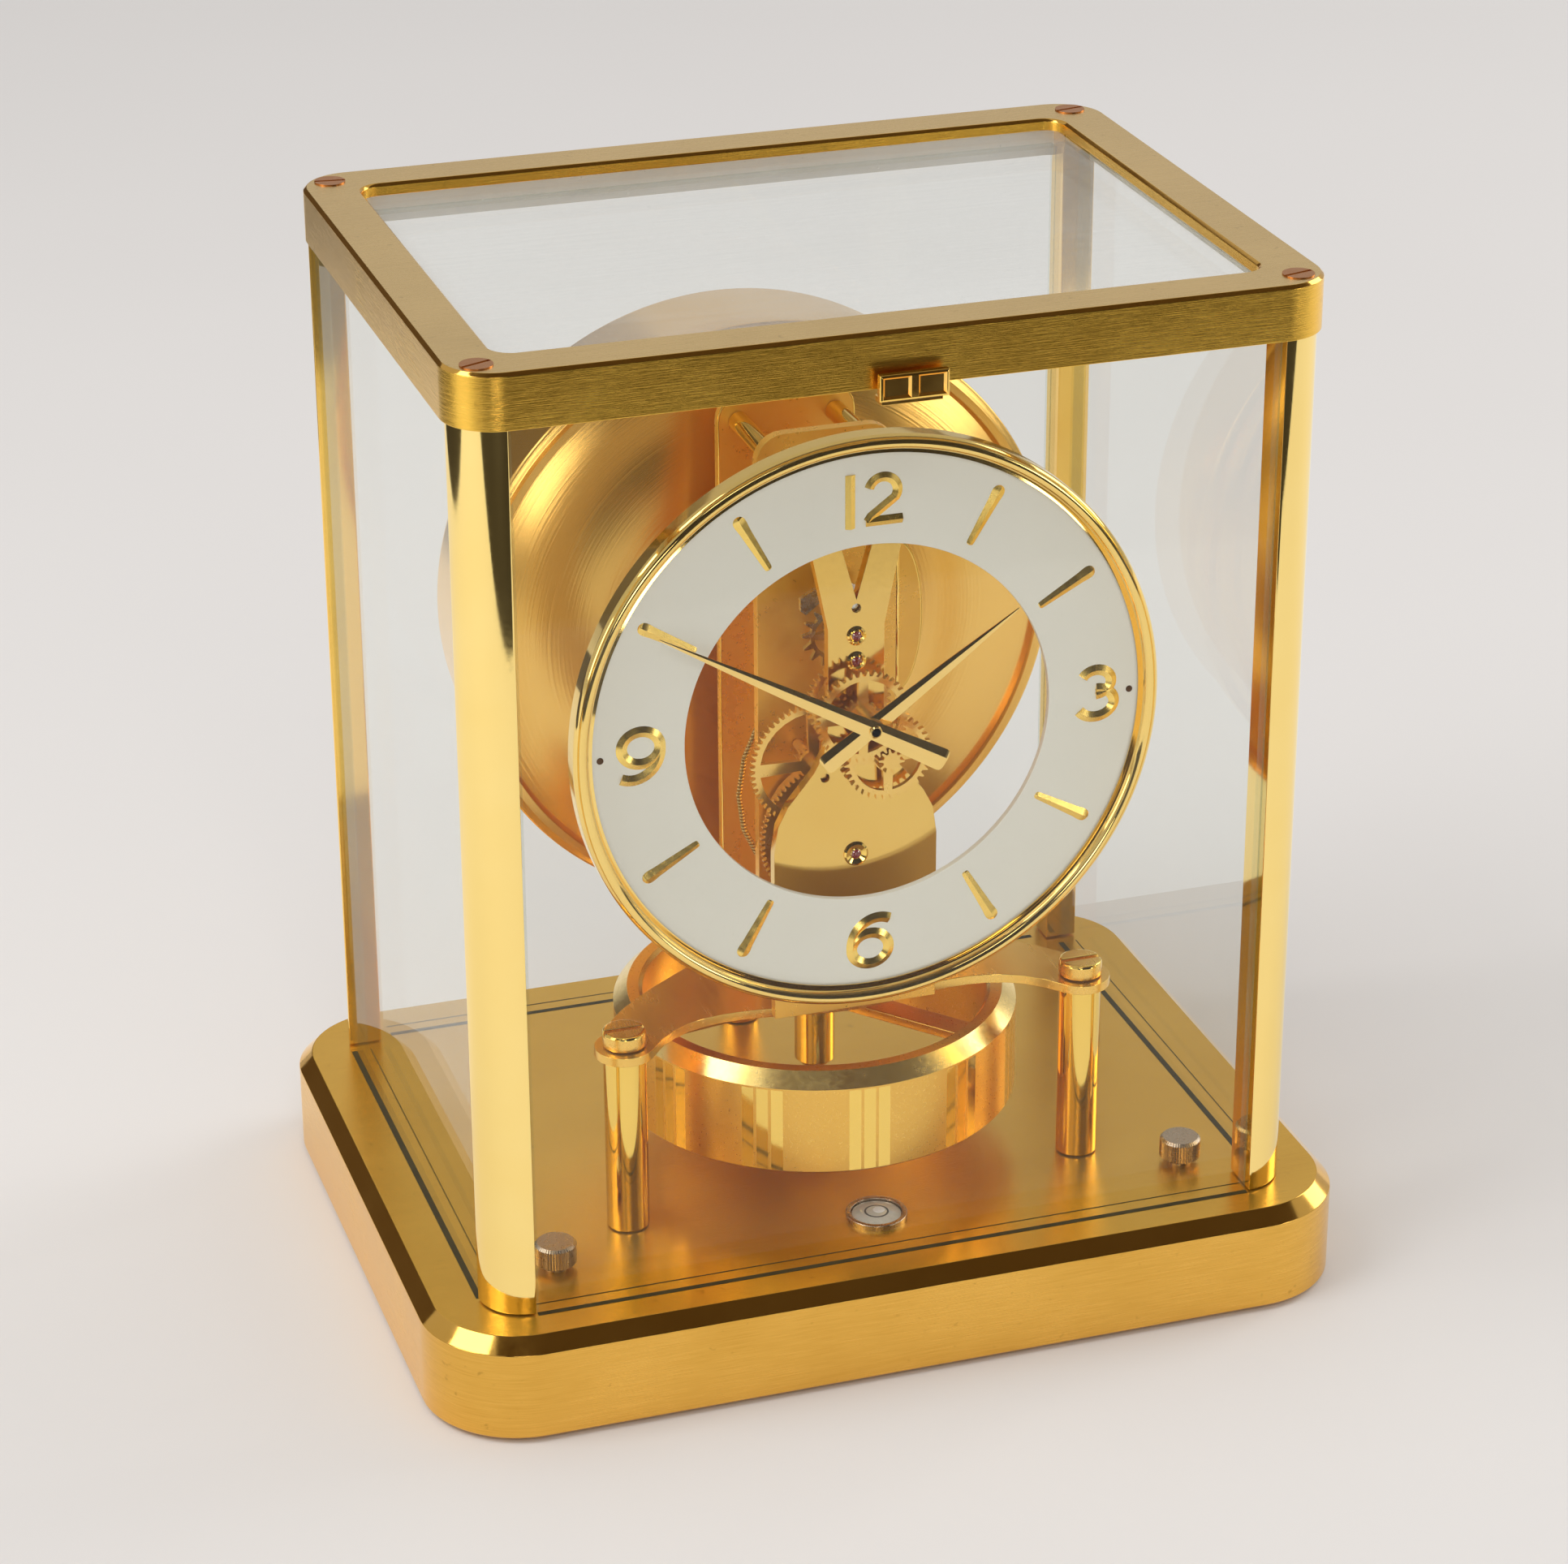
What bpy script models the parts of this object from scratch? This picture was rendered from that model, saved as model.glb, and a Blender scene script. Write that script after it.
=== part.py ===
"""Glass-cased mantel clock with a torsion balance, an open gear train and a bellows drum.

Axes: +X to the right of the dial, +Y to the back, +Z up. The origin lies on the table under the
middle of the plinth. Lengths are metres and angles are degrees. Pieces that face the front are
drawn in their front view (across, up) and turned so that their depth runs towards the viewer.
"""

import math

import bmesh
import bpy
from mathutils import Vector
from mathutils.geometry import tessellate_polygon

# Fits shared by many pieces
SEAT_GAP = 0.0003
RUNNING_GAP = 0.0004
CORNER_STEPS = 6
ROUND_STEPS = 36
SMALL_STEPS = 16
PIVOT_STEPS = 8

# Plinth
PLINTH_WIDTH = 0.2000
PLINTH_DEPTH = 0.1524
PLINTH_TOP = 0.0237
PLINTH_LIFT = 0.0010
PLINTH_CORNER = 0.0210
PLINTH_CHAMFER = 0.0030
PLINTH_WALL = 0.0070
PLINTH_DECK = 0.0080
SILL_DEPTH = 0.0012

# Case above the plinth
CASE_TOP = 0.2250
FRAME_SIDE_STEP = 0.0112
FRAME_FRONT_STEP = 0.0092
FRAME_HEIGHT = 0.0113
FRAME_EDGE = 0.0008
FRAME_BAND = 0.0112
FRAME_OPENING_CORNER = 0.0045
FRAME_LEDGE = 0.0025
PILLAR_RADIUS = 0.0098
PILLAR_INSET = 0.0009
PANE_THICKNESS = 0.0030
PANE_SETBACK = 0.0010
PANE_HEAD = 0.0030
PANE_LIFT = 0.0015
TOP_GLASS_THICKNESS = 0.0035
TOP_GLASS_RECESS = 0.0024
PULL_WIDTH = 0.0140
PULL_HEIGHT = 0.0065
PULL_THICKNESS = 0.0026
PULL_FOOT = 0.0011
PULL_STANDOFF = 0.0006
PULL_BEVEL = 0.0004

# Feet and spirit level
FOOT_SIDE_INSET = 0.0194
FOOT_FRONT_INSET = 0.0180
FOOT_RADIUS = 0.0075
FOOT_HEIGHT = 0.0042
FOOT_SOCKET = 0.0024
FOOT_TRAVEL = 0.0010
REAR_FOOT_INSET = 0.0120
STEM_RADIUS = 0.0025
KNOB_RADIUS = 0.0039
KNOB_HEIGHT = 0.0040
KNOB_STANDOFF = 0.0020
KNOB_FLUTES = 16
KNOB_FLUTE_DEPTH = 0.0003
LEVEL_INSET = 0.0166
LEVEL_RADIUS = 0.0057
LEVEL_RIM = 0.0011
LEVEL_SUNK = 0.0030
LEVEL_PROUD = 0.0012
LEVEL_DOME = 0.0006

# Bridge that carries the movement
BRIDGE_PILLAR_ACROSS = 0.0503
BRIDGE_PILLAR_FORWARD = 0.0367
BRIDGE_REAR_BACK = 0.0450
BRIDGE_PILLAR_RADIUS = 0.0045
BRIDGE_PILLAR_BORE_DEPTH = 0.0060
BRIDGE_TOP = 0.0660
BRIDGE_THICKNESS = 0.0030
BRIDGE_EAR = 0.0063
BRIDGE_BULGE = 0.0242
BRIDGE_BOW_PULL = 0.0140
BRIDGE_BOW_SAG = 0.0220
BRIDGE_WING_PULL = 0.0230
BRIDGE_TAIL_PULL = 0.0170
BRIDGE_STEP_BACK = 0.0160
BRIDGE_STEP_LENGTH = 0.0040
BRIDGE_TAIL_DROP = 0.0032
BRIDGE_TAIL_THICKNESS = 0.0026
BRIDGE_SCREW_HEAD = 0.0046
BRIDGE_SCREW_HEIGHT = 0.0034
BRIDGE_SCREW_SHANK = 0.0020
BRIDGE_SCREW_REACH = 0.0050
BRIDGE_SLOT_WIDTH = 0.0012
BRIDGE_SLOT_DEPTH = 0.0012

# Balance and its suspension
BALANCE_FORWARD = 0.0094
BALANCE_RADIUS = 0.0433
BALANCE_WALL = 0.0063
BALANCE_LOW = 0.0364
BALANCE_HEIGHT = 0.0226
BALANCE_CHAMFER = 0.0030
BALANCE_INNER_CHAMFER = 0.0008
BALANCE_STEPS = 56
SPOKE_COUNT = 3
SPOKE_WIDTH = 0.0060
SPOKE_THICKNESS = 0.0022
SPOKE_DROP = 0.0010
SPOKE_ANGLE = -50.0
SPOKE_BITE = 0.0020
HUB_RADIUS = 0.0043
HUB_LOW = 0.0399
HUB_ROUND = 0.0012
STAFF_RADIUS = 0.0024
STAFF_RISE = 0.0038
ROLLER_RADIUS = 0.0042
ROLLER_HEIGHT = 0.0020
WIRE_RADIUS = 0.0003
BLOCK_RISE = 0.0358
BLOCK_HEIGHT = 0.0120
BLOCK_WIDTH = 0.0110
BLOCK_REACH = 0.0045

# Movement plates, as distances in front of the origin plane
DIAL_RISE = 0.0682
PLATE_THICKNESS = 0.0025
FRONT_PLATE_FACE = 0.0365
BACK_PLATE_FACE = 0.0180
REAR_FRAME_BACK = 0.0105
BELL_HALF = 0.0176
BELL_DROP = 0.0300
BELL_EASE = 0.0140
ARM_HALF = 0.0060
ARM_DROP = 0.0030
FORK_RISE = 0.0180
FORK_NOTCH_RISE = 0.0240
FORK_TIP_ACROSS = 0.0090
FORK_TIP_RISE = 0.0460
FORK_TIP_RADIUS = 0.0027
BACK_PLATE_HALF = 0.0150
BACK_PLATE_RISE = 0.0538
BACK_PLATE_CORNER = 0.0060
PLATE_PILLAR_RADIUS = 0.0019
PLATE_PILLAR_ACROSS = 0.0130
PLATE_PILLAR_FOOT = 0.0100
PLATE_PILLAR_TOP_ACROSS = 0.0072
PLATE_PILLAR_TOP_RISE = 0.0380
STUD_RADIUS = 0.0022
STUD_ACROSS = 0.0105
STUD_INSET = 0.0060
DIAL_POST_RADIUS = 0.0018
DIAL_POST_ACROSS = 0.0110
DIAL_POST_DROP = 0.0482

# Going train
BARREL_DROP = 0.0324
BARREL_TEETH = 84
BARREL_MODULE = 0.00040
BARREL_DRUM_RADIUS = 0.0142
BARREL_LID_RADIUS = 0.0134
SECOND_WHEEL_TEETH = 60
SECOND_MODULE = 0.00044
PINION_LEAVES = 12
CENTRE_WHEEL_TEETH = 40
ESCAPE_LEAVES = 10
ESCAPE_RISE = 0.0109
ESCAPE_TEETH = 15
ESCAPE_RADIUS = 0.0070
ESCAPE_TOOTH_DEPTH = 0.0018
PALLET_RISE = 0.0221
PALLET_CLEARANCE = 0.0011
PALLET_SPREAD = 50.0
PALLET_ARM_WIDTH = 0.0015
PALLET_HUB = 0.0024
CRUTCH_LENGTH = 0.0080
CRUTCH_WIDTH = 0.0014
ARBOR_RADIUS = 0.0011
BARREL_ARBOR_RADIUS = 0.0022
PIVOT_RADIUS = 0.0007
PIVOT_DEPTH = 0.0018
WHEEL_THICKNESS = 0.0011
PINION_LENGTH = 0.0026
WHEEL_RIM = 0.0016
WHEEL_BOSS = 0.0030
CROSSING_COUNT = 4
CROSSING_ARM = 14.0

# Depth of each wheel in front of the back plate
BARREL_WHEEL_DEPTH = 0.0072
SECOND_WHEEL_DEPTH = 0.0102
CENTRE_WHEEL_DEPTH = 0.0130
ESCAPE_WHEEL_DEPTH = 0.0040
BARREL_DRUM_DEPTH = 0.0009
CRUTCH_DEPTH = -0.0052

# Motion work, dial and hands
MOTION_MODULE = 0.00050
CANNON_LEAVES = 12
MINUTE_WHEEL_TEETH = 36
MINUTE_LEAVES = 10
HOUR_WHEEL_TEETH = 40
MINUTE_WHEEL_ANGLE = -60.0
MINUTE_WHEEL_DEPTH = 0.0016
HOUR_WHEEL_DEPTH = 0.0034
HOUR_PIPE_RADIUS = 0.0022
DIAL_BACK = 0.0430
DIAL_THICKNESS = 0.0015
DIAL_APERTURE = 0.0387
DIAL_RADIUS = 0.0590
DIAL_STEPS = 56
BEZEL_RADIUS = 0.0620
BEZEL_LIP = 0.0010
BEZEL_BEHIND = 0.0015
BEZEL_FRONT = 0.0024
HAND_THICKNESS = 0.0007
HOUR_HAND_DEPTH = 0.0462
MINUTE_HAND_DEPTH = 0.0480
HOUR_HAND_LENGTH = 0.0380
HOUR_HAND_TAIL = 0.0125
HOUR_HAND_WIDTH = 0.0036
HOUR_HAND_ANGLE = 55.0
MINUTE_HAND_LENGTH = 0.0515
MINUTE_HAND_TAIL = 0.0175
MINUTE_HAND_WIDTH = 0.0034
MINUTE_HAND_ANGLE = 300.0
HAND_TIP = 0.0005
HAND_SHOULDER = 0.30
HAND_HUB_WALL = 0.0012

# Bellows drum behind the movement
DRUM_TAIL_GAP = 0.0007
DRUM_RADIUS = 0.0665
DRUM_FACE_BACK = 0.0215
DRUM_PANE_GAP = 0.0041
DRUM_WALL = 0.0016
DRUM_RIM_DEPTH = 0.0100
DRUM_ROUND = 0.0040
DRUM_CONE = 0.0008
DRUM_HUB_RADIUS = 0.0110
DRUM_CORD_HOLE = 0.0030
BELLOWS_RADIUS = 0.0520
BELLOWS_FOLD = 0.0080
BELLOWS_FOLDS = 4
BELLOWS_LENGTH = 0.0220
CHAIN_RADIUS = 0.0006
CHAIN_SIDE = -0.0140
CHAIN_ROUTE_DROP = (0.0110, 0.0180, 0.0260, 0.0340, 0.0400, 0.0440)
CHAIN_ROUTE_OUT = (0.0000, 0.0030, 0.0042, 0.0032, 0.0004, -0.0020)

# Places worked out from the sizes above
FRAME_WIDTH = PLINTH_WIDTH - 2 * FRAME_SIDE_STEP
FRAME_DEPTH = PLINTH_DEPTH - 2 * FRAME_FRONT_STEP
FOOT_ACROSS = FRAME_WIDTH / 2 - FOOT_SIDE_INSET
FOOT_FORWARD = FRAME_DEPTH / 2 - FOOT_FRONT_INSET
REAR_FOOT_BACK = FRAME_DEPTH / 2 - REAR_FOOT_INSET
LEVEL_FORWARD = FRAME_DEPTH / 2 - LEVEL_INSET
FRAME_BOTTOM = CASE_TOP - FRAME_HEIGHT
LEDGE_TOP = CASE_TOP - TOP_GLASS_RECESS - TOP_GLASS_THICKNESS - SEAT_GAP
PILLAR_X = FRAME_WIDTH / 2 - PILLAR_INSET - PILLAR_RADIUS
PILLAR_Y = FRAME_DEPTH / 2 - PILLAR_INSET - PILLAR_RADIUS
PANE_X = FRAME_WIDTH / 2 - PILLAR_INSET - PANE_SETBACK - PANE_THICKNESS / 2
PANE_Y = FRAME_DEPTH / 2 - PILLAR_INSET - PANE_SETBACK - PANE_THICKNESS / 2
DRUM_BACK = PANE_Y - PANE_THICKNESS / 2 - DRUM_PANE_GAP
PANE_LOW = PLINTH_TOP - SILL_DEPTH + SEAT_GAP
PANE_HIGH = FRAME_BOTTOM + PANE_HEAD
BRIDGE_BOTTOM = BRIDGE_TOP - BRIDGE_THICKNESS
TAIL_BOTTOM = BRIDGE_TOP - BRIDGE_TAIL_DROP - BRIDGE_TAIL_THICKNESS
MOVEMENT_FOOT = BRIDGE_TOP + SEAT_GAP
FRONT_PLATE_BACK = FRONT_PLATE_FACE - PLATE_THICKNESS
BACK_PLATE_REAR = BACK_PLATE_FACE - PLATE_THICKNESS
REAR_FRAME_FACE = PLATE_THICKNESS - REAR_FRAME_BACK
DIAL_FACE = DIAL_BACK + DIAL_THICKNESS
ESCAPE_MODULE = 2 * ESCAPE_RISE / (CENTRE_WHEEL_TEETH + ESCAPE_LEAVES)
MOTION_DISTANCE = MOTION_MODULE * (CANNON_LEAVES + MINUTE_WHEEL_TEETH) / 2
HOUR_MODULE = 2 * MOTION_DISTANCE / (MINUTE_LEAVES + HOUR_WHEEL_TEETH)
DIAL_HEIGHT = BRIDGE_TOP + DIAL_RISE
STAFF_TOP = DIAL_HEIGHT + STAFF_RISE
BLOCK_LOW = DIAL_HEIGHT + BLOCK_RISE
BACK_PLATE_TOP = DIAL_HEIGHT + BACK_PLATE_RISE
DRUM_HEIGHT = BRIDGE_TOP - BRIDGE_TAIL_DROP + DRUM_TAIL_GAP + DRUM_RADIUS
CENTRE = Vector((0.0, DIAL_HEIGHT))
BARREL = CENTRE - Vector((0.0, BARREL_DROP))
ESCAPE = CENTRE + Vector((0.0, ESCAPE_RISE))
PALLET = CENTRE + Vector((0.0, PALLET_RISE))
CHAIN_DEPTH = BACK_PLATE_REAR - SEAT_GAP - CHAIN_RADIUS
BACK_PLATE_MID = (MOVEMENT_FOOT + BACK_PLATE_TOP) / 2


def on_circle(radius, angle):
    """The point at an angle on a circle about the local origin."""
    turn = math.radians(angle)
    return Vector((radius * math.cos(turn), radius * math.sin(turn)))


def where_circles_meet(first, first_radius, second, second_radius):
    """The left-hand point that lies at a given distance from each of two centres."""
    span = second - first
    along = (first_radius**2 - second_radius**2 + span.length_squared) / (2 * span.length)
    aside = math.sqrt(first_radius**2 - along**2)
    ahead = span.normalized()
    return first + ahead * along + Vector((-ahead.y, ahead.x)) * aside


BARREL_DISTANCE = BARREL_MODULE * (BARREL_TEETH + PINION_LEAVES) / 2
SECOND_DISTANCE = SECOND_MODULE * (SECOND_WHEEL_TEETH + PINION_LEAVES) / 2
SECOND = where_circles_meet(BARREL, BARREL_DISTANCE, CENTRE, SECOND_DISTANCE)
MINUTE = CENTRE + on_circle(MOTION_DISTANCE, MINUTE_WHEEL_ANGLE)


# Outlines


def circle(radius, steps, centre=(0.0, 0.0)):
    return [Vector(centre) + on_circle(radius, 360 * step / steps) for step in range(steps)]


def arc(centre, radius, start, end, steps):
    span = end - start
    return [Vector(centre) + on_circle(radius, start + span * s / steps) for s in range(steps + 1)]


def curve(start, start_pull, end_pull, end, steps):
    """Points of a cubic curve between two ends, each with the point that it leaves towards."""
    points = []
    for step in range(steps + 1):
        t = step / steps
        u = 1 - t
        points.append(
            start * u**3 + start_pull * (3 * u * u * t) + end_pull * (3 * u * t * t) + end * t**3
        )
    return points


def mirrored(points):
    """The points followed by their reflections in the vertical axis, as one closed outline."""
    left = [Vector((-point.x, point.y)) for point in reversed(points)]
    return without_repeats(points + left)


def without_repeats(points):
    kept = []
    for point in points:
        if not kept or (point - kept[-1]).length > SEAT_GAP / 100:
            kept.append(point)
    if (kept[0] - kept[-1]).length < SEAT_GAP / 100:
        kept.pop()
    return kept


def rounded_rectangle(width, depth, radius, centre=(0.0, 0.0)):
    points = []
    for side_x, side_y, start in ((1, -1, -90), (1, 1, 0), (-1, 1, 90), (-1, -1, 180)):
        corner = Vector(centre) + Vector((side_x * (width / 2 - radius), side_y * (depth / 2 - radius)))
        points += arc(corner, radius, start, start + 90, CORNER_STEPS)
    return points


def rectangle(left, right, low, high):
    return [Vector(p) for p in ((left, low), (right, low), (right, high), (left, high))]


def gear(teeth, module, phase):
    """Outline of a toothed wheel. One tooth is centred at the phase angle."""
    addendum, dedendum = 0.85, 1.25
    root_share, tip_share = 0.29, 0.09
    pitch = module * teeth / 2
    points = []
    for tooth in range(teeth):
        middle = phase + 360 * tooth / teeth
        for radius, share in (
            (pitch - dedendum * module, -root_share),
            (pitch + addendum * module, -tip_share),
            (pitch + addendum * module, tip_share),
            (pitch - dedendum * module, root_share),
        ):
            points.append(on_circle(radius, middle + 360 * share / teeth))
    return points


def meshed_phase(phase, teeth, other_teeth, here, there):
    """Phase of a wheel at one place whose gaps take the teeth of a wheel at another."""
    towards = math.degrees(math.atan2(there.y - here.y, there.x - here.x))
    share = (towards - phase) * teeth / 360
    return towards + 180 - 360 * (0.5 - share) / other_teeth


def crossings(outer, inner):
    """The windows between the spokes of a wheel."""
    windows = []
    for window in range(CROSSING_COUNT):
        start = 360 * window / CROSSING_COUNT + CROSSING_ARM / 2
        end = 360 * (window + 1) / CROSSING_COUNT - CROSSING_ARM / 2
        far = arc((0, 0), outer, start, end, CORNER_STEPS)
        near = arc((0, 0), inner, end - CROSSING_ARM, start + CROSSING_ARM, CORNER_STEPS // 2)
        windows.append(far + near)
    return windows


# Solids


def area(outline):
    pairs = zip(outline, outline[1:] + outline[:1])
    return abs(sum(a.x * b.y - b.x * a.y for a, b in pairs)) / 2


def ring_of(bm, outline, height):
    return [bm.verts.new((point.x, point.y, height)) for point in outline]


def wall(bm, low, high):
    for index in range(len(low)):
        following = (index + 1) % len(low)
        bm.faces.new((low[index], low[following], high[following], high[index]))


def cover(bm, rim, holes=()):
    """A flat face inside a rim and around its holes."""
    loops = [rim, *holes]
    corners = [vert for loop in loops for vert in loop]
    for triangle in tessellate_polygon([[vert.co for vert in loop] for loop in loops]):
        bm.faces.new([corners[index] for index in triangle])


def prism(outline, low, high, holes=()):
    """An outline with holes, carried straight up."""
    return stacked([(outline, low, high, holes)])


def stacked(slices, bore=None):
    """One solid of slices (outline, low, high, windows), each inside or around the next one."""
    bm = bmesh.new()
    below = None
    bore_low = ring_of(bm, bore, slices[0][1]) if bore else None
    for outline, low, high, windows in slices:
        floor = ring_of(bm, outline, low)
        roof = ring_of(bm, outline, high)
        floor_windows = [ring_of(bm, window, low) for window in windows]
        roof_windows = [ring_of(bm, window, high) for window in windows]
        wall(bm, floor, roof)
        for window_low, window_high in zip(floor_windows, roof_windows):
            wall(bm, window_low, window_high)
        if below is None:
            cover(bm, floor, floor_windows + ([bore_low] if bore else []))
        elif area(below[0]) > area(outline):
            cover(bm, below[1], [floor] + below[2])
        else:
            cover(bm, floor, [below[1]] + floor_windows)
        below = (outline, roof, roof_windows)
    bore_high = ring_of(bm, bore, slices[-1][2]) if bore else None
    cover(bm, below[1], below[2] + ([bore_high] if bore else []))
    if bore:
        wall(bm, bore_low, bore_high)
    return bm


def lofted(loops):
    """A solid through (outline, height) sections that have the same number of points."""
    bm = bmesh.new()
    rings = [ring_of(bm, outline, height) for outline, height in loops]
    for low, high in zip(rings, rings[1:]):
        wall(bm, low, high)
    cover(bm, rings[0])
    cover(bm, rings[-1])
    return bm


def turned(profile, steps, closed=False):
    """A (radius, height) profile turned about the local Z axis. A closed one makes a ring."""
    bm = bmesh.new()
    rings = []
    for radius, height in profile:
        if radius > 0:
            rings.append(ring_of(bm, circle(radius, steps), height))
        else:
            rings.append([bm.verts.new((0, 0, height))])
    pairs = list(zip(rings, rings[1:]))
    if closed:
        pairs.append((rings[-1], rings[0]))
    for low, high in pairs:
        for index in range(steps):
            following = (index + 1) % steps
            corners = [low[index % len(low)], low[following % len(low)]]
            corners += [high[following % len(high)], high[index % len(high)]]
            bm.faces.new(list(dict.fromkeys(corners)))
    return bm


def shifted(bm, offset):
    bmesh.ops.translate(bm, verts=bm.verts, vec=offset)
    return bm


def spun(bm, angle):
    turn = math.radians(angle)
    for vert in bm.verts:
        x, y, z = vert.co
        vert.co = (
            x * math.cos(turn) - y * math.sin(turn),
            x * math.sin(turn) + y * math.cos(turn),
            z,
        )
    return bm


def loose(bm):
    bmesh.ops.recalc_face_normals(bm, faces=bm.faces)
    mesh = bpy.data.meshes.new("loose")
    bm.to_mesh(mesh)
    bm.free()
    helper = bpy.data.objects.new("loose", mesh)
    bpy.context.collection.objects.link(helper)
    return helper


def combined(base, others, operation):
    """The base after a Boolean with each of the others."""
    target = loose(base)
    tools = [loose(other) for other in others]
    for tool in tools:
        modifier = target.modifiers.new("Boolean", "BOOLEAN")
        modifier.operation = operation
        modifier.object = tool
    evaluated = target.evaluated_get(bpy.context.evaluated_depsgraph_get())
    result = bmesh.new()
    result.from_mesh(evaluated.to_mesh())
    evaluated.to_mesh_clear()
    for helper in [target, *tools]:
        mesh = helper.data
        bpy.data.objects.remove(helper)
        bpy.data.meshes.remove(mesh)
    return result


def material(name, colour, roughness, metallic, transmission=0.0):
    made = bpy.data.materials.get(name)
    if made is None:
        made = bpy.data.materials.new(name)
        made.use_nodes = True
        shader = made.node_tree.nodes["Principled BSDF"]
        shader.inputs["Base Color"].default_value = (*colour, 1.0)
        shader.inputs["Roughness"].default_value = roughness
        shader.inputs["Metallic"].default_value = metallic
        shader.inputs["Transmission Weight"].default_value = transmission
    return made


def brushed_brass():
    return material("brushed_brass", (0.72, 0.50, 0.20), 0.35, 1.0)


def polished_brass():
    return material("polished_brass", (0.90, 0.70, 0.32), 0.10, 1.0)


def gilt():
    return material("gilt", (0.86, 0.58, 0.24), 0.18, 1.0)


def satin_gilt():
    return material("satin_gilt", (0.85, 0.56, 0.22), 0.32, 1.0)


def steel():
    return material("steel", (0.62, 0.62, 0.62), 0.22, 1.0)


def clear_glass():
    return material("clear_glass", (0.96, 0.98, 0.97), 0.02, 0.0, 1.0)


def dial_white():
    return material("dial_white", (0.80, 0.80, 0.77), 0.40, 0.0)


TOP_VIEW = (0.0, 0.0, 0.0)
FRONT_VIEW = (math.pi / 2, 0.0, 0.0)
SHARP_ANGLE = math.radians(32)


def place(name, bm, finish, location=(0.0, 0.0, 0.0), view=TOP_VIEW):
    """One named piece at its place, drawn in the view given."""
    bmesh.ops.recalc_face_normals(bm, faces=bm.faces)
    mesh = bpy.data.meshes.new(name)
    bm.to_mesh(mesh)
    bm.free()
    mesh.shade_smooth()
    mesh.set_sharp_from_angle(angle=SHARP_ANGLE)
    mesh.materials.append(finish)
    piece = bpy.data.objects.new(name, mesh)
    piece.location = location
    piece.rotation_euler = view
    bpy.context.collection.objects.link(piece)
    return piece


# Case


def pane_footprint(side, slack):
    """Rectangle (left, right, front, back) of a pane, grown by a slack on every side."""
    half_x = PILLAR_X - SEAT_GAP
    half_y = PILLAR_Y - SEAT_GAP
    half_t = PANE_THICKNESS / 2
    left, right, front, back = {
        "front": (-half_x, half_x, -PANE_Y - half_t, -PANE_Y + half_t),
        "back": (-half_x, half_x, PANE_Y - half_t, PANE_Y + half_t),
        "left": (-PANE_X - half_t, -PANE_X + half_t, -half_y, half_y),
        "right": (PANE_X - half_t, PANE_X + half_t, -half_y, half_y),
    }[side]
    return left - slack, right + slack, front - slack, back + slack


PANE_SIDES = ("front", "back", "left", "right")


def plinth():
    """Hollow base with a chamfered top edge and sill grooves for the four upright panes."""
    body = lofted(
        [
            (rounded_rectangle(PLINTH_WIDTH, PLINTH_DEPTH, PLINTH_CORNER), PLINTH_LIFT),
            (
                rounded_rectangle(PLINTH_WIDTH, PLINTH_DEPTH, PLINTH_CORNER),
                PLINTH_TOP - PLINTH_CHAMFER,
            ),
            (
                rounded_rectangle(
                    PLINTH_WIDTH - 2 * PLINTH_CHAMFER,
                    PLINTH_DEPTH - 2 * PLINTH_CHAMFER,
                    PLINTH_CORNER - PLINTH_CHAMFER,
                ),
                PLINTH_TOP,
            ),
        ]
    )
    inside = rounded_rectangle(
        PLINTH_WIDTH - 2 * PLINTH_WALL,
        PLINTH_DEPTH - 2 * PLINTH_WALL,
        PLINTH_CORNER - PLINTH_WALL,
    )
    cuts = [prism(inside, -PLINTH_LIFT, PLINTH_TOP - PLINTH_DECK)]
    for side in PANE_SIDES:
        groove = rectangle(*pane_footprint(side, SEAT_GAP))
        cuts.append(prism(groove, PLINTH_TOP - SILL_DEPTH, CASE_TOP))
    for across in (-FOOT_ACROSS, FOOT_ACROSS):
        hole = circle(STEM_RADIUS + SEAT_GAP, SMALL_STEPS, (across, -FOOT_FORWARD))
        cuts.append(prism(hole, 0.0, CASE_TOP))
    pocket = circle(LEVEL_RADIUS - LEVEL_RIM + SEAT_GAP, SMALL_STEPS, (0.0, -LEVEL_FORWARD))
    cuts.append(prism(pocket, PLINTH_TOP - LEVEL_SUNK - SEAT_GAP, CASE_TOP))
    place("plinth", combined(body, cuts, "DIFFERENCE"), brushed_brass())


def corner_pillars():
    """Quarter-round posts whose flat inner faces take the edges of the panes."""
    section = [Vector((0.0, 0.0))] + arc((0, 0), PILLAR_RADIUS, 0, 90, CORNER_STEPS)
    low = PLINTH_TOP + SEAT_GAP
    high = FRAME_BOTTOM - SEAT_GAP
    corners = (
        ("back_right", 1, 1, 0),
        ("back_left", -1, 1, 90),
        ("front_left", -1, -1, 180),
        ("front_right", 1, -1, 270),
    )
    for corner, side_x, side_y, turn in corners:
        post = spun(prism(section, 0.0, high - low), turn)
        at = (side_x * PILLAR_X, side_y * PILLAR_Y, low)
        place(f"corner_pillar_{corner}", post, polished_brass(), at)


def frame_opening(grown):
    return rounded_rectangle(
        FRAME_WIDTH - 2 * FRAME_BAND + 2 * grown,
        FRAME_DEPTH - 2 * FRAME_BAND + 2 * grown,
        FRAME_OPENING_CORNER + grown,
    )


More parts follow.
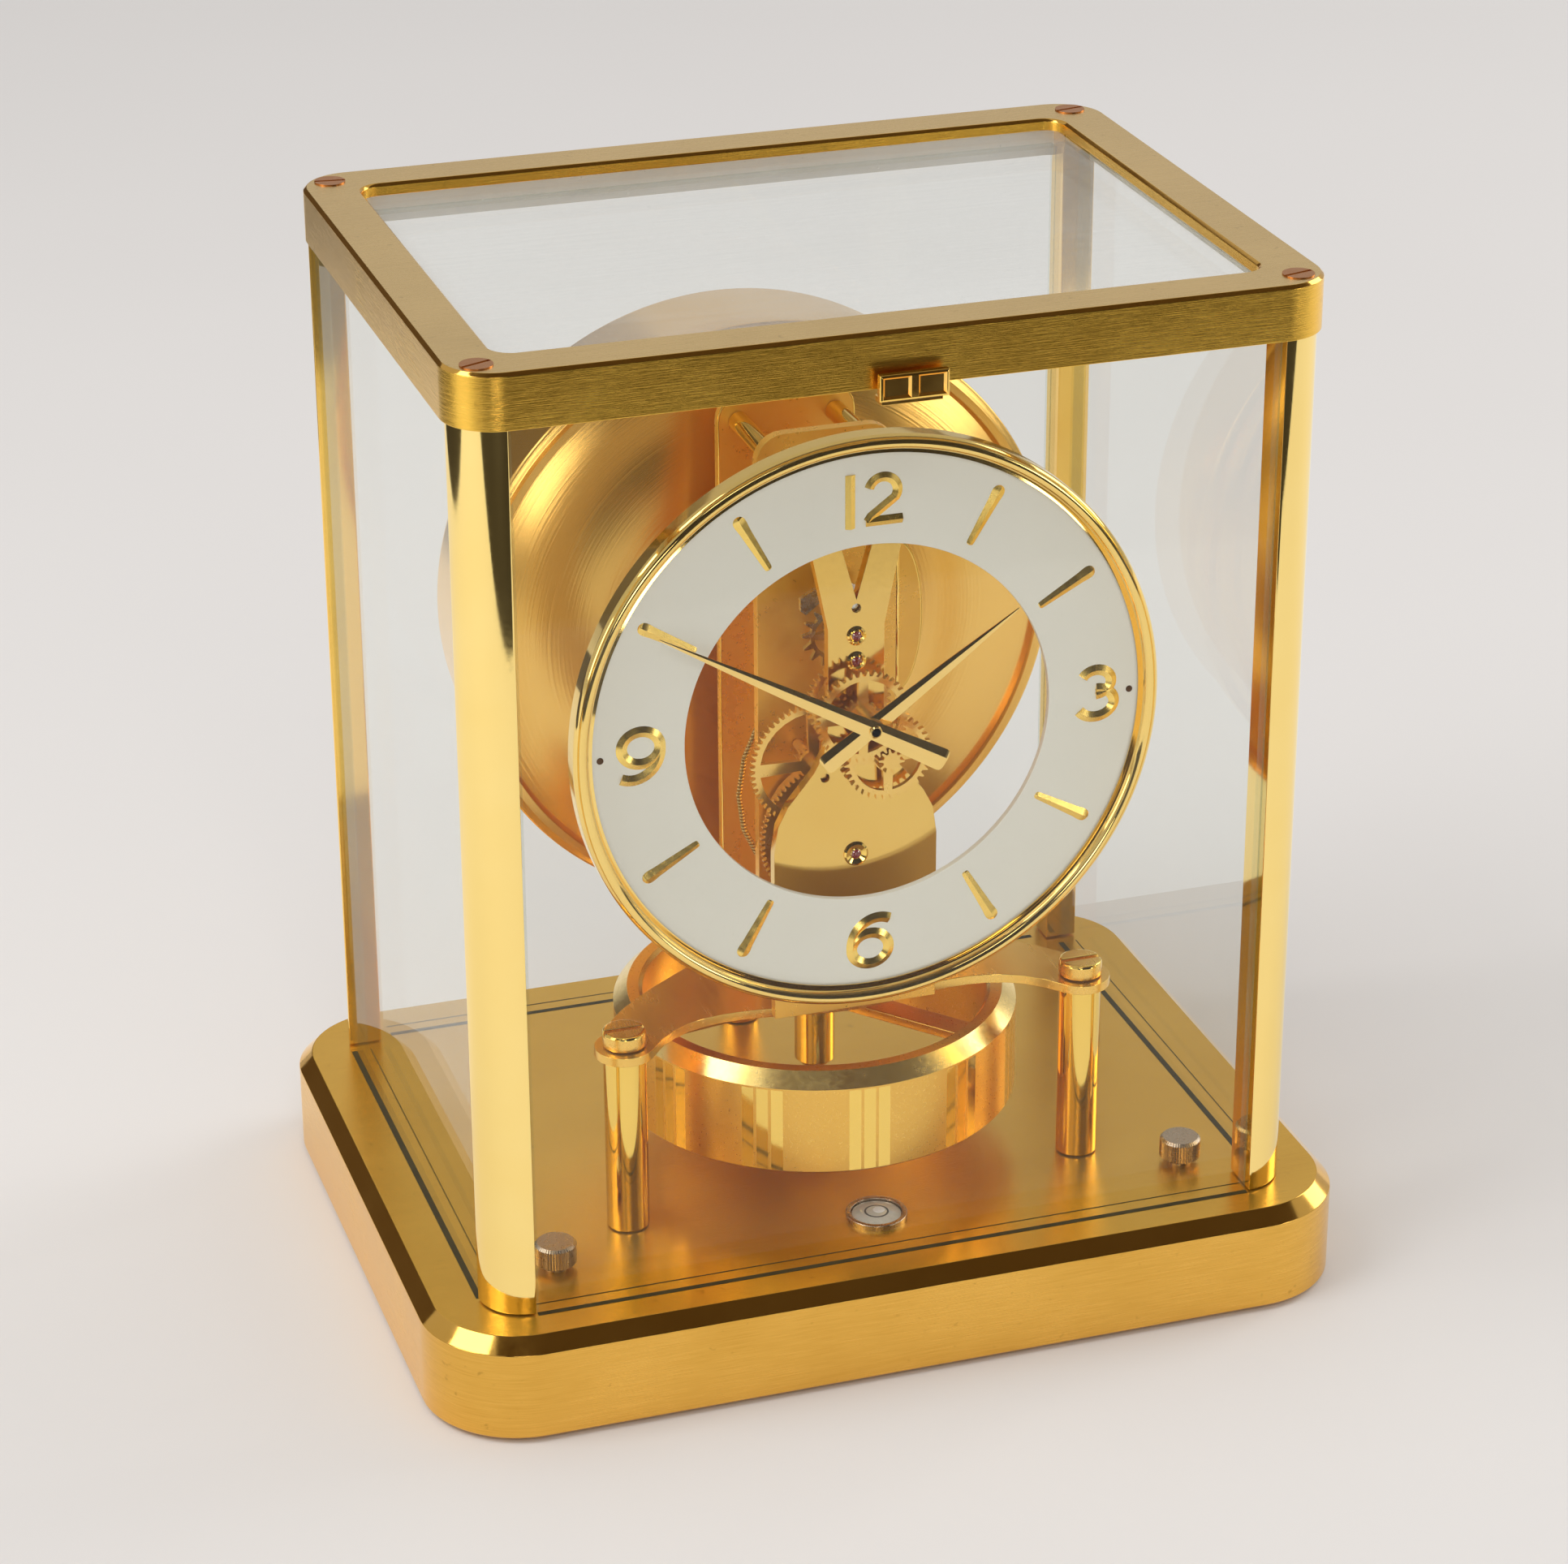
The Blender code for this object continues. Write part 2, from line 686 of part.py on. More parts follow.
def top_frame():
    """Band round the top with a ledge for the roof pane and head grooves for the upright panes."""
    corner = PILLAR_RADIUS + PILLAR_INSET
    full = rounded_rectangle(FRAME_WIDTH, FRAME_DEPTH, corner)
    eased = rounded_rectangle(
        FRAME_WIDTH - 2 * FRAME_EDGE, FRAME_DEPTH - 2 * FRAME_EDGE, corner - FRAME_EDGE
    )
    body = lofted([(full, FRAME_BOTTOM), (full, CASE_TOP - FRAME_EDGE), (eased, CASE_TOP)])
    cuts = [
        prism(frame_opening(-FRAME_LEDGE), PLINTH_TOP, LEDGE_TOP + SEAT_GAP),
        prism(frame_opening(0.0), LEDGE_TOP, CASE_TOP + PLINTH_TOP),
    ]
    for side in PANE_SIDES:
        groove = rectangle(*pane_footprint(side, SEAT_GAP))
        cuts.append(prism(groove, PLINTH_TOP, PANE_HIGH + PANE_LIFT + SEAT_GAP))
    place("top_frame", combined(body, cuts, "DIFFERENCE"), brushed_brass())


def panes():
    for side in PANE_SIDES:
        left, right, front, back = pane_footprint(side, 0.0)
        middle = ((left + right) / 2, (front + back) / 2, PANE_LOW)
        sheet = rectangle(left - middle[0], right - middle[0], front - middle[1], back - middle[1])
        place(f"glass_{side}", prism(sheet, 0.0, PANE_HIGH - PANE_LOW), clear_glass(), middle)
    roof = prism(frame_opening(-SEAT_GAP), 0.0, TOP_GLASS_THICKNESS)
    place("glass_top", roof, clear_glass(), (0.0, 0.0, LEDGE_TOP + SEAT_GAP))


def glass_pull():
    """Finger pull on the front pane, hooked up in front of the frame so that the pane can rise."""
    seat = PANE_Y + PANE_THICKNESS / 2 + SEAT_GAP
    back = FRAME_DEPTH / 2 + PULL_STANDOFF
    front = back + PULL_THICKNESS
    low = FRAME_BOTTOM - PANE_LIFT - SEAT_GAP - PULL_FOOT
    high = low + PULL_HEIGHT
    half = PULL_WIDTH / 2
    ease = PULL_BEVEL
    full = rectangle(-half, half, low, high)
    eased = rectangle(ease - half, half - ease, low + ease, high - ease)
    lip = lofted([(full, back), (full, front - ease), (eased, front)])
    foot = prism(rectangle(-half, half, low, low + PULL_FOOT), seat, back + ease)
    place("glass_pull", combined(lip, [foot], "UNION"), gilt(), view=FRONT_VIEW)


# Feet and spirit level


def levelling_feet():
    """Front feet: a pad that stands on the table and a thumbscrew that turns in it."""
    socket = STEM_RADIUS + SEAT_GAP
    pad = [
        (0.0, 0.0),
        (FOOT_RADIUS - FOOT_SOCKET / 2, 0.0),
        (FOOT_RADIUS, FOOT_SOCKET / 2),
        (FOOT_RADIUS, FOOT_HEIGHT),
        (socket, FOOT_HEIGHT),
        (socket, FOOT_HEIGHT - FOOT_SOCKET),
        (0.0, FOOT_HEIGHT - FOOT_SOCKET),
    ]
    stem_low = FOOT_HEIGHT - FOOT_SOCKET + SEAT_GAP
    knob_low = PLINTH_TOP + KNOB_STANDOFF
    for side, across in (("left", -FOOT_ACROSS), ("right", FOOT_ACROSS)):
        at = (across, -FOOT_FORWARD, 0.0)
        place(f"levelling_foot_{side}", turned(pad, SMALL_STEPS), steel(), at)
        fluted = [
            on_circle(KNOB_RADIUS - KNOB_FLUTE_DEPTH * (step % 2), 180 * step / KNOB_FLUTES)
            for step in range(2 * KNOB_FLUTES)
        ]
        crown = circle(KNOB_RADIUS - 2 * KNOB_FLUTE_DEPTH, SMALL_STEPS)
        screw = stacked(
            [
                (circle(STEM_RADIUS, SMALL_STEPS), stem_low, knob_low, ()),
                (fluted, knob_low, knob_low + KNOB_HEIGHT - KNOB_FLUTE_DEPTH, ()),
                (crown, knob_low + KNOB_HEIGHT - KNOB_FLUTE_DEPTH, knob_low + KNOB_HEIGHT, ()),
            ]
        )
        place(f"levelling_screw_{side}", screw, steel(), at)


def rear_foot():
    high = PLINTH_TOP - PLINTH_DECK - SEAT_GAP
    peg = [
        (0.0, 0.0),
        (FOOT_RADIUS - FOOT_SOCKET / 2, 0.0),
        (FOOT_RADIUS, FOOT_SOCKET / 2),
        (FOOT_RADIUS, FOOT_HEIGHT),
        (STEM_RADIUS, FOOT_HEIGHT),
        (STEM_RADIUS, high),
        (0.0, high),
    ]
    place("rear_foot", turned(peg, SMALL_STEPS), steel(), (0.0, REAR_FOOT_BACK, 0.0))


def spirit_level():
    """Round level let into the deck: a flanged cup and the glass that closes it."""
    at = (0.0, -LEVEL_FORWARD, PLINTH_TOP)
    body = LEVEL_RADIUS - LEVEL_RIM
    bowl = body - LEVEL_RIM / 2
    floor = LEVEL_RIM / 2 - LEVEL_SUNK
    cup = [
        (0.0, -LEVEL_SUNK),
        (body, -LEVEL_SUNK),
        (body, SEAT_GAP),
        (LEVEL_RADIUS, SEAT_GAP),
        (LEVEL_RADIUS - LEVEL_RIM / 2, LEVEL_PROUD),
        (bowl, LEVEL_PROUD),
        (bowl, floor),
        (0.0, floor),
    ]
    place("level_cup", turned(cup, SMALL_STEPS), steel(), at)
    vial = [
        (0.0, floor + SEAT_GAP),
        (bowl - SEAT_GAP, floor + SEAT_GAP),
        (bowl - SEAT_GAP, LEVEL_PROUD - LEVEL_DOME),
        (bowl / 2, LEVEL_PROUD - LEVEL_DOME / 4),
        (0.0, LEVEL_PROUD),
    ]
    place("level_glass", turned(vial, SMALL_STEPS), clear_glass(), at)


# Bridge


BRIDGE_SEATS = (("left", -BRIDGE_PILLAR_ACROSS), ("right", BRIDGE_PILLAR_ACROSS))


def bridge_outline():
    """Bow-fronted plate with a wing to each front ear, narrowing towards the tail."""
    ear = Vector((BRIDGE_PILLAR_ACROSS, -BRIDGE_PILLAR_FORWARD))
    nose = Vector((0.0, -BALANCE_FORWARD - BRIDGE_BULGE))
    bow_end = ear + on_circle(BRIDGE_EAR, -140)
    wing_start = ear + on_circle(BRIDGE_EAR, 60)
    wing_end = Vector((BRIDGE_EAR, BRIDGE_STEP_BACK))
    bow = curve(
        nose,
        nose + Vector((BRIDGE_BOW_PULL, 0.0)),
        bow_end + on_circle(BRIDGE_BOW_SAG, 125),
        bow_end,
        2 * CORNER_STEPS,
    )
    wing = curve(
        wing_start,
        wing_start + on_circle(BRIDGE_WING_PULL, 115),
        wing_end - Vector((0.0, BRIDGE_TAIL_PULL)),
        wing_end,
        2 * CORNER_STEPS,
    )
    return mirrored(bow + arc(ear, BRIDGE_EAR, -140, 60, 2 * CORNER_STEPS) + wing)


def bridge():
    """Plate over the balance whose tail steps down to pass under the drum."""
    hole = BRIDGE_SCREW_SHANK + SEAT_GAP
    holes = [circle(hole, SMALL_STEPS, (x, -BRIDGE_PILLAR_FORWARD)) for _, x in BRIDGE_SEATS]
    holes.append(circle(HUB_RADIUS + 2 * RUNNING_GAP, SMALL_STEPS, (0.0, -BALANCE_FORWARD)))
    plate = prism(bridge_outline(), BRIDGE_BOTTOM, BRIDGE_TOP, holes)
    step_front = BRIDGE_STEP_BACK - BRIDGE_STEP_LENGTH
    end = arc((0.0, BRIDGE_REAR_BACK), BRIDGE_EAR, 0, 180, 2 * CORNER_STEPS)
    corners = [Vector((-BRIDGE_EAR, step_front)), Vector((BRIDGE_EAR, step_front))]
    tail = prism(corners + end, TAIL_BOTTOM, BRIDGE_TOP - BRIDGE_TAIL_DROP)
    riser = prism(
        rectangle(-BRIDGE_EAR, BRIDGE_EAR, step_front, BRIDGE_STEP_BACK), TAIL_BOTTOM, BRIDGE_TOP
    )
    place("bridge_plate", combined(plate, [riser, tail], "UNION"), gilt())


def bridge_pillars():
    """Two front posts bored for slotted screws, and a rear post fixed from underneath."""
    low = PLINTH_TOP + SEAT_GAP
    high = BRIDGE_BOTTOM - SEAT_GAP
    bore = BRIDGE_SCREW_SHANK + SEAT_GAP
    post = [
        (0.0, low),
        (BRIDGE_PILLAR_RADIUS, low),
        (BRIDGE_PILLAR_RADIUS, high),
        (bore, high),
        (bore, high - BRIDGE_PILLAR_BORE_DEPTH),
        (0.0, high - BRIDGE_PILLAR_BORE_DEPTH),
    ]
    seat = BRIDGE_TOP + SEAT_GAP
    crown = seat + BRIDGE_SCREW_HEIGHT
    ease = BRIDGE_SLOT_DEPTH / 3
    bolt = [
        (0.0, BRIDGE_BOTTOM - BRIDGE_SCREW_REACH),
        (BRIDGE_SCREW_SHANK, BRIDGE_BOTTOM - BRIDGE_SCREW_REACH),
        (BRIDGE_SCREW_SHANK, seat),
        (BRIDGE_SCREW_HEAD, seat),
        (BRIDGE_SCREW_HEAD, crown - ease),
        (BRIDGE_SCREW_HEAD - ease, crown),
        (0.0, crown),
    ]
    slot = rectangle(
        -2 * BRIDGE_SCREW_HEAD,
        2 * BRIDGE_SCREW_HEAD,
        -BRIDGE_SLOT_WIDTH / 2,
        BRIDGE_SLOT_WIDTH / 2,
    )
    for side, x in BRIDGE_SEATS:
        at = (x, -BRIDGE_PILLAR_FORWARD, 0.0)
        place(f"bridge_pillar_{side}", turned(post, SMALL_STEPS), gilt(), at)
        cut = prism(slot, crown - BRIDGE_SLOT_DEPTH, crown + BRIDGE_SLOT_DEPTH)
        screw = combined(turned(bolt, SMALL_STEPS), [cut], "DIFFERENCE")
        place(f"bridge_screw_{side}", screw, gilt(), at)
    rear = prism(circle(BRIDGE_PILLAR_RADIUS, SMALL_STEPS), low, TAIL_BOTTOM - SEAT_GAP)
    place("bridge_pillar_rear", rear, gilt(), (0.0, BRIDGE_REAR_BACK, 0.0))


# Balance


def balance():
    """Heavy rim on three flat spokes, on a staff that hangs from a torsion wire."""
    high = BALANCE_LOW + BALANCE_HEIGHT
    inner = BALANCE_RADIUS - BALANCE_WALL
    rim = [
        (inner, BALANCE_LOW),
        (BALANCE_RADIUS, BALANCE_LOW),
        (BALANCE_RADIUS, high - BALANCE_CHAMFER),
        (BALANCE_RADIUS - BALANCE_CHAMFER, high),
        (inner + BALANCE_INNER_CHAMFER, high),
        (inner, high - BALANCE_INNER_CHAMFER),
    ]
    roller_low = STAFF_TOP - 2 * ROLLER_HEIGHT
    staff = [
        (0.0, HUB_LOW),
        (HUB_RADIUS - HUB_ROUND, HUB_LOW),
        (HUB_RADIUS, HUB_LOW + HUB_ROUND),
        (HUB_RADIUS, BRIDGE_TOP + HUB_ROUND),
        (STAFF_RADIUS, BRIDGE_TOP + HUB_ROUND + SEAT_GAP),
        (STAFF_RADIUS, roller_low),
        (ROLLER_RADIUS, roller_low),
        (ROLLER_RADIUS, roller_low + ROLLER_HEIGHT),
        (STAFF_RADIUS, roller_low + ROLLER_HEIGHT),
        (STAFF_RADIUS, STAFF_TOP),
        (0.0, STAFF_TOP),
    ]
    parts = [turned(staff, SMALL_STEPS)]
    spoke_high = high - SPOKE_DROP
    for spoke in range(SPOKE_COUNT):
        bar = rectangle(0.0, inner + SPOKE_BITE, -SPOKE_WIDTH / 2, SPOKE_WIDTH / 2)
        arm = prism(bar, spoke_high - SPOKE_THICKNESS, spoke_high)
        parts.append(spun(arm, SPOKE_ANGLE + 360 * spoke / SPOKE_COUNT))
    wheel = combined(turned(rim, BALANCE_STEPS, True), parts, "UNION")
    place("balance", wheel, satin_gilt(), (0.0, -BALANCE_FORWARD, 0.0))


def suspension():
    """Block on the back plate and the torsion wire clamped in it."""
    block = rectangle(-BLOCK_WIDTH / 2, BLOCK_WIDTH / 2, BLOCK_LOW, BLOCK_LOW + BLOCK_HEIGHT)
    depth = prism(block, BALANCE_FORWARD - BLOCK_REACH, BACK_PLATE_REAR - SEAT_GAP)
    place("suspension_block", depth, gilt(), view=FRONT_VIEW)
    wire = [
        (0.0, STAFF_TOP + SEAT_GAP),
        (WIRE_RADIUS, STAFF_TOP + SEAT_GAP),
        (WIRE_RADIUS, BLOCK_LOW - SEAT_GAP),
        (0.0, BLOCK_LOW - SEAT_GAP),
    ]
    place("torsion_wire", turned(wire, PIVOT_STEPS), steel(), (0.0, -BALANCE_FORWARD, 0.0))


# Movement plates


def pivot_holes(places):
    return [circle(PIVOT_RADIUS + SEAT_GAP, PIVOT_STEPS, at) for at in places]


def front_plate():
    """Bell-shaped cock with a narrow arm that forks in a V at the top."""
    bell_top = DIAL_HEIGHT - BELL_DROP
    arm_low = DIAL_HEIGHT - ARM_DROP
    tip = Vector((FORK_TIP_ACROSS, DIAL_HEIGHT + FORK_TIP_RISE))
    right = [Vector((BELL_HALF, MOVEMENT_FOOT))]
    right += curve(
        Vector((BELL_HALF, bell_top)),
        Vector((BELL_HALF, bell_top + BELL_EASE)),
        Vector((ARM_HALF, arm_low - BELL_EASE)),
        Vector((ARM_HALF, arm_low)),
        CORNER_STEPS,
    )
    right.append(Vector((ARM_HALF, DIAL_HEIGHT + FORK_RISE)))
    right += arc(tip, FORK_TIP_RADIUS, -15, 165, CORNER_STEPS)
    right.append(Vector((0.0, DIAL_HEIGHT + FORK_NOTCH_RISE)))
    holes = pivot_holes((BARREL, SECOND, ESCAPE, PALLET, MINUTE))
    holes.append(circle(ARBOR_RADIUS + RUNNING_GAP, PIVOT_STEPS, CENTRE))
    plate = prism(mirrored(right), FRONT_PLATE_BACK, FRONT_PLATE_FACE, holes)
    place("front_plate", plate, polished_brass(), view=FRONT_VIEW)


def back_plates():
    """Plate behind the train, and the frame behind it that carries the bellows drum."""
    sheet = rounded_rectangle(
        2 * BACK_PLATE_HALF,
        BACK_PLATE_TOP - MOVEMENT_FOOT,
        BACK_PLATE_CORNER,
        (0.0, BACK_PLATE_MID),
    )
    holes = pivot_holes((BARREL, SECOND, CENTRE, ESCAPE))
    holes.append(circle(ARBOR_RADIUS + RUNNING_GAP, PIVOT_STEPS, PALLET))
    plate = prism(sheet, BACK_PLATE_REAR, BACK_PLATE_FACE, holes)
    place("back_plate", plate, gilt(), view=FRONT_VIEW)
    eye = circle(DRUM_CORD_HOLE, SMALL_STEPS, (0.0, DRUM_HEIGHT))
    rear = prism(sheet, -REAR_FRAME_BACK, REAR_FRAME_FACE, [eye])
    place("rear_frame", rear, gilt(), view=FRONT_VIEW)


def rod(radius, rear, front):
    return prism(circle(radius, SMALL_STEPS), rear + SEAT_GAP, front - SEAT_GAP)


def movement_pillars():
    """Round distance pieces between the plates and behind the dial."""
    foot = MOVEMENT_FOOT + PLATE_PILLAR_FOOT
    crown = DIAL_HEIGHT + PLATE_PILLAR_TOP_RISE
    stud_rows = (MOVEMENT_FOOT + STUD_INSET, BACK_PLATE_TOP - STUD_INSET)
    rows = {
        "plate_pillar": (
            PLATE_PILLAR_RADIUS,
            BACK_PLATE_FACE,
            FRONT_PLATE_BACK,
            ((PLATE_PILLAR_ACROSS, foot), (PLATE_PILLAR_TOP_ACROSS, crown)),
        ),
        "frame_stud": (
            STUD_RADIUS,
            REAR_FRAME_FACE,
            BACK_PLATE_REAR,
            ((STUD_ACROSS, stud_rows[0]), (STUD_ACROSS, stud_rows[1])),
        ),
        "dial_post": (
            DIAL_POST_RADIUS,
            FRONT_PLATE_FACE,
            DIAL_BACK,
            (
                (DIAL_POST_ACROSS, DIAL_HEIGHT - DIAL_POST_DROP),
                (FORK_TIP_ACROSS, DIAL_HEIGHT + FORK_TIP_RISE),
            ),
        ),
    }
    for kind, (radius, rear, front, heights) in rows.items():
        for level, (across, up) in zip(("low", "high"), heights):
            for side, sign in (("left", -1), ("right", 1)):
                at = (sign * across, 0.0, up)
                name = f"{kind}_{level}_{side}"
                place(name, rod(radius, rear, front), gilt(), at, FRONT_VIEW)


# Going train


CENTRE_PHASE = 90.0
SECOND_PHASE = meshed_phase(CENTRE_PHASE, PINION_LEAVES, SECOND_WHEEL_TEETH, CENTRE, SECOND)
BARREL_PHASE = meshed_phase(SECOND_PHASE, PINION_LEAVES, BARREL_TEETH, SECOND, BARREL)
ESCAPE_PHASE = meshed_phase(CENTRE_PHASE, CENTRE_WHEEL_TEETH, ESCAPE_LEAVES, CENTRE, ESCAPE)
MINUTE_PHASE = meshed_phase(CENTRE_PHASE, CANNON_LEAVES, MINUTE_WHEEL_TEETH, CENTRE, MINUTE)
HOUR_PHASE = meshed_phase(MINUTE_PHASE, MINUTE_LEAVES, HOUR_WHEEL_TEETH, MINUTE, CENTRE)


def on_arbor(sections, radius, low_pivot=True, high_pivot=True):
    """An arbor between the plates with the wheels and pinions given from back to front."""
    low = BACK_PLATE_FACE + RUNNING_GAP
    high = FRONT_PLATE_BACK - RUNNING_GAP
    bar = circle(radius, PIVOT_STEPS)
    pivot = circle(PIVOT_RADIUS, PIVOT_STEPS)
    slices = [(pivot, low - PIVOT_DEPTH, low, ())] if low_pivot else []
    for outline, start, end, windows in sections:
        if start > low:
            slices.append((bar, low, start, ()))
        slices.append((outline, start, end, windows))
        low = end
    if high > low:
        slices.append((bar, low, high, ()))
    if high_pivot:
        slices.append((pivot, high, high + PIVOT_DEPTH, ()))
    return slices


def pinion_about(leaves, module, phase, middle):
    start = middle - PINION_LENGTH / 2
    return (gear(leaves, module, phase), start, start + PINION_LENGTH, ())


def wheel_at(teeth, module, phase, depth):
    rim = module * teeth / 2 - WHEEL_RIM
    windows = crossings(rim, WHEEL_BOSS)
    return (gear(teeth, module, phase), depth, depth + WHEEL_THICKNESS, windows)


def axle_at(place_on_plate):
    return (place_on_plate.x, 0.0, place_on_plate.y)


def barrel():
    """Mainspring barrel: a drum with the great wheel round its front edge and a lid."""
    teeth = BACK_PLATE_FACE + BARREL_WHEEL_DEPTH
    front = teeth + WHEEL_THICKNESS
    drum = circle(BARREL_DRUM_RADIUS, ROUND_STEPS)
    lid = circle(BARREL_LID_RADIUS, ROUND_STEPS)
    sections = [
        (drum, BACK_PLATE_FACE + BARREL_DRUM_DEPTH, teeth, ()),
        (gear(BARREL_TEETH, BARREL_MODULE, BARREL_PHASE), teeth, front, ()),
        (lid, front, front + SEAT_GAP, ()),
    ]
    body = stacked(on_arbor(sections, BARREL_ARBOR_RADIUS))
    place("barrel", body, gilt(), axle_at(BARREL), FRONT_VIEW)


def second_wheel():
    driven = BACK_PLATE_FACE + BARREL_WHEEL_DEPTH + WHEEL_THICKNESS / 2
    sections = [
        pinion_about(PINION_LEAVES, BARREL_MODULE, SECOND_PHASE, driven),
        wheel_at(
            SECOND_WHEEL_TEETH, SECOND_MODULE, SECOND_PHASE, BACK_PLATE_FACE + SECOND_WHEEL_DEPTH
        ),
    ]
    body = stacked(on_arbor(sections, ARBOR_RADIUS))
    place("second_wheel", body, gilt(), axle_at(SECOND), FRONT_VIEW)


def centre_wheel():
    """Arbor that turns once an hour, with its pinion, wheel, cannon pinion and hand seat."""
    driven = BACK_PLATE_FACE + SECOND_WHEEL_DEPTH + WHEEL_THICKNESS / 2
    cannon = FRONT_PLATE_FACE + MINUTE_WHEEL_DEPTH
    sections = [
        pinion_about(PINION_LEAVES, SECOND_MODULE, CENTRE_PHASE, driven),
        wheel_at(
            CENTRE_WHEEL_TEETH, ESCAPE_MODULE, CENTRE_PHASE, BACK_PLATE_FACE + CENTRE_WHEEL_DEPTH
        ),
    ]
    slices = on_arbor(sections, ARBOR_RADIUS, high_pivot=False)
    bar, last_low, _, _ = slices.pop()
    leaves = gear(CANNON_LEAVES, MOTION_MODULE, CENTRE_PHASE)
    crown = MINUTE_HAND_DEPTH + HAND_THICKNESS + SEAT_GAP
    slices += [
        (bar, last_low, cannon, ()),
        (leaves, cannon, cannon + WHEEL_THICKNESS, ()),
        (bar, cannon + WHEEL_THICKNESS, crown, ()),
    ]
    place("centre_wheel", stacked(slices), gilt(), axle_at(CENTRE), FRONT_VIEW)


def escape_outline():
    """Wheel with raked pointed teeth."""
    step = 360 / ESCAPE_TEETH
    root = ESCAPE_RADIUS - ESCAPE_TOOTH_DEPTH
    land, rake = 0.12, 0.30
    points = []
    for tooth in range(ESCAPE_TEETH):
        start = tooth * step
        points.append(on_circle(root, start))
        points.append(on_circle(ESCAPE_RADIUS, start + rake * step))
        points.append(on_circle(ESCAPE_RADIUS, start + (rake + land) * step))
        points.append(on_circle(root, start + 2 * rake * step))
    return points


def escape_wheel():
    driven = BACK_PLATE_FACE + CENTRE_WHEEL_DEPTH + WHEEL_THICKNESS / 2
    depth = BACK_PLATE_FACE + ESCAPE_WHEEL_DEPTH
    windows = crossings(ESCAPE_RADIUS - ESCAPE_TOOTH_DEPTH - WHEEL_RIM / 2, WHEEL_BOSS * 0.8)
    sections = [
        (escape_outline(), depth, depth + WHEEL_THICKNESS, windows),
        pinion_about(ESCAPE_LEAVES, ESCAPE_MODULE, ESCAPE_PHASE, driven),
    ]
    body = stacked(on_arbor(sections, ARBOR_RADIUS))
    place("escape_wheel", body, steel(), axle_at(ESCAPE), FRONT_VIEW)


def pallet_outline():
    """Anchor that straddles the escape wheel, drawn about its own arbor."""
    wheel = ESCAPE - PALLET
    reach = ESCAPE_RADIUS + PALLET_CLEARANCE
    nib = wheel + on_circle(reach, 90 - PALLET_SPREAD)
    outer = wheel + on_circle(reach + PALLET_ARM_WIDTH, 90 - PALLET_SPREAD)
    inner_crown = wheel + Vector((0.0, reach))
    shoulder = on_circle(PALLET_HUB, 10)
    elbow = Vector((outer.x, (outer.y + shoulder.y) / 2))
    right = [inner_crown, wheel + on_circle(reach, 90 - PALLET_SPREAD / 2), nib, outer, elbow]
    right += arc((0, 0), PALLET_HUB, 10, 90, CORNER_STEPS // 2)
    return mirrored(right)


def pallet_lever():
    """Anchor in the plane of the escape wheel, with a crutch behind the back plate."""
    depth = BACK_PLATE_FACE + ESCAPE_WHEEL_DEPTH
    crutch_low = BACK_PLATE_FACE + CRUTCH_DEPTH
    bar = circle(ARBOR_RADIUS, PIVOT_STEPS)
    crutch = arc((0, 0), PALLET_HUB, -50, 230, 2 * CORNER_STEPS)
    crutch += [
        Vector((-CRUTCH_WIDTH / 2, -CRUTCH_LENGTH)),
        Vector((CRUTCH_WIDTH / 2, -CRUTCH_LENGTH)),
    ]
    high = FRONT_PLATE_BACK - RUNNING_GAP
    slices = [
        (crutch, crutch_low, crutch_low + WHEEL_THICKNESS, ()),
        (bar, crutch_low + WHEEL_THICKNESS, depth, ()),
        (pallet_outline(), depth, depth + WHEEL_THICKNESS, ()),
        (bar, depth + WHEEL_THICKNESS, high, ()),
        (circle(PIVOT_RADIUS, PIVOT_STEPS), high, high + PIVOT_DEPTH, ()),
    ]
    place("pallet_lever", stacked(slices), steel(), axle_at(PALLET), FRONT_VIEW)


# Motion work, dial and hands


def motion_work():
    """Minute wheel on its stud and hour wheel on its pipe, which turns once in twelve hours."""
    low = FRONT_PLATE_FACE + MINUTE_WHEEL_DEPTH
    hour_low = FRONT_PLATE_FACE + HOUR_WHEEL_DEPTH
    seat = FRONT_PLATE_FACE + RUNNING_GAP
    bar = circle(ARBOR_RADIUS, PIVOT_STEPS)
    pinion_low = hour_low - RUNNING_GAP
    minute = [
        (circle(PIVOT_RADIUS, PIVOT_STEPS), seat - PIVOT_DEPTH, seat, ()),
        (bar, seat, low, ()),
        wheel_at(MINUTE_WHEEL_TEETH, MOTION_MODULE, MINUTE_PHASE, low),
        (bar, low + WHEEL_THICKNESS, pinion_low, ()),
        (
            gear(MINUTE_LEAVES, HOUR_MODULE, MINUTE_PHASE),
            pinion_low,
            hour_low + WHEEL_THICKNESS + RUNNING_GAP,
            (),
        ),
    ]
    place("minute_wheel", stacked(minute), gilt(), axle_at(MINUTE), FRONT_VIEW)
    pipe_top = HOUR_HAND_DEPTH + HAND_THICKNESS + SEAT_GAP
    hour = [
        wheel_at(HOUR_WHEEL_TEETH, HOUR_MODULE, HOUR_PHASE, hour_low),
        (circle(HOUR_PIPE_RADIUS, SMALL_STEPS), hour_low + WHEEL_THICKNESS, pipe_top, ()),
    ]
    bore = circle(ARBOR_RADIUS + RUNNING_GAP, PIVOT_STEPS)
    place("hour_wheel", stacked(hour, bore), gilt(), axle_at(CENTRE), FRONT_VIEW)


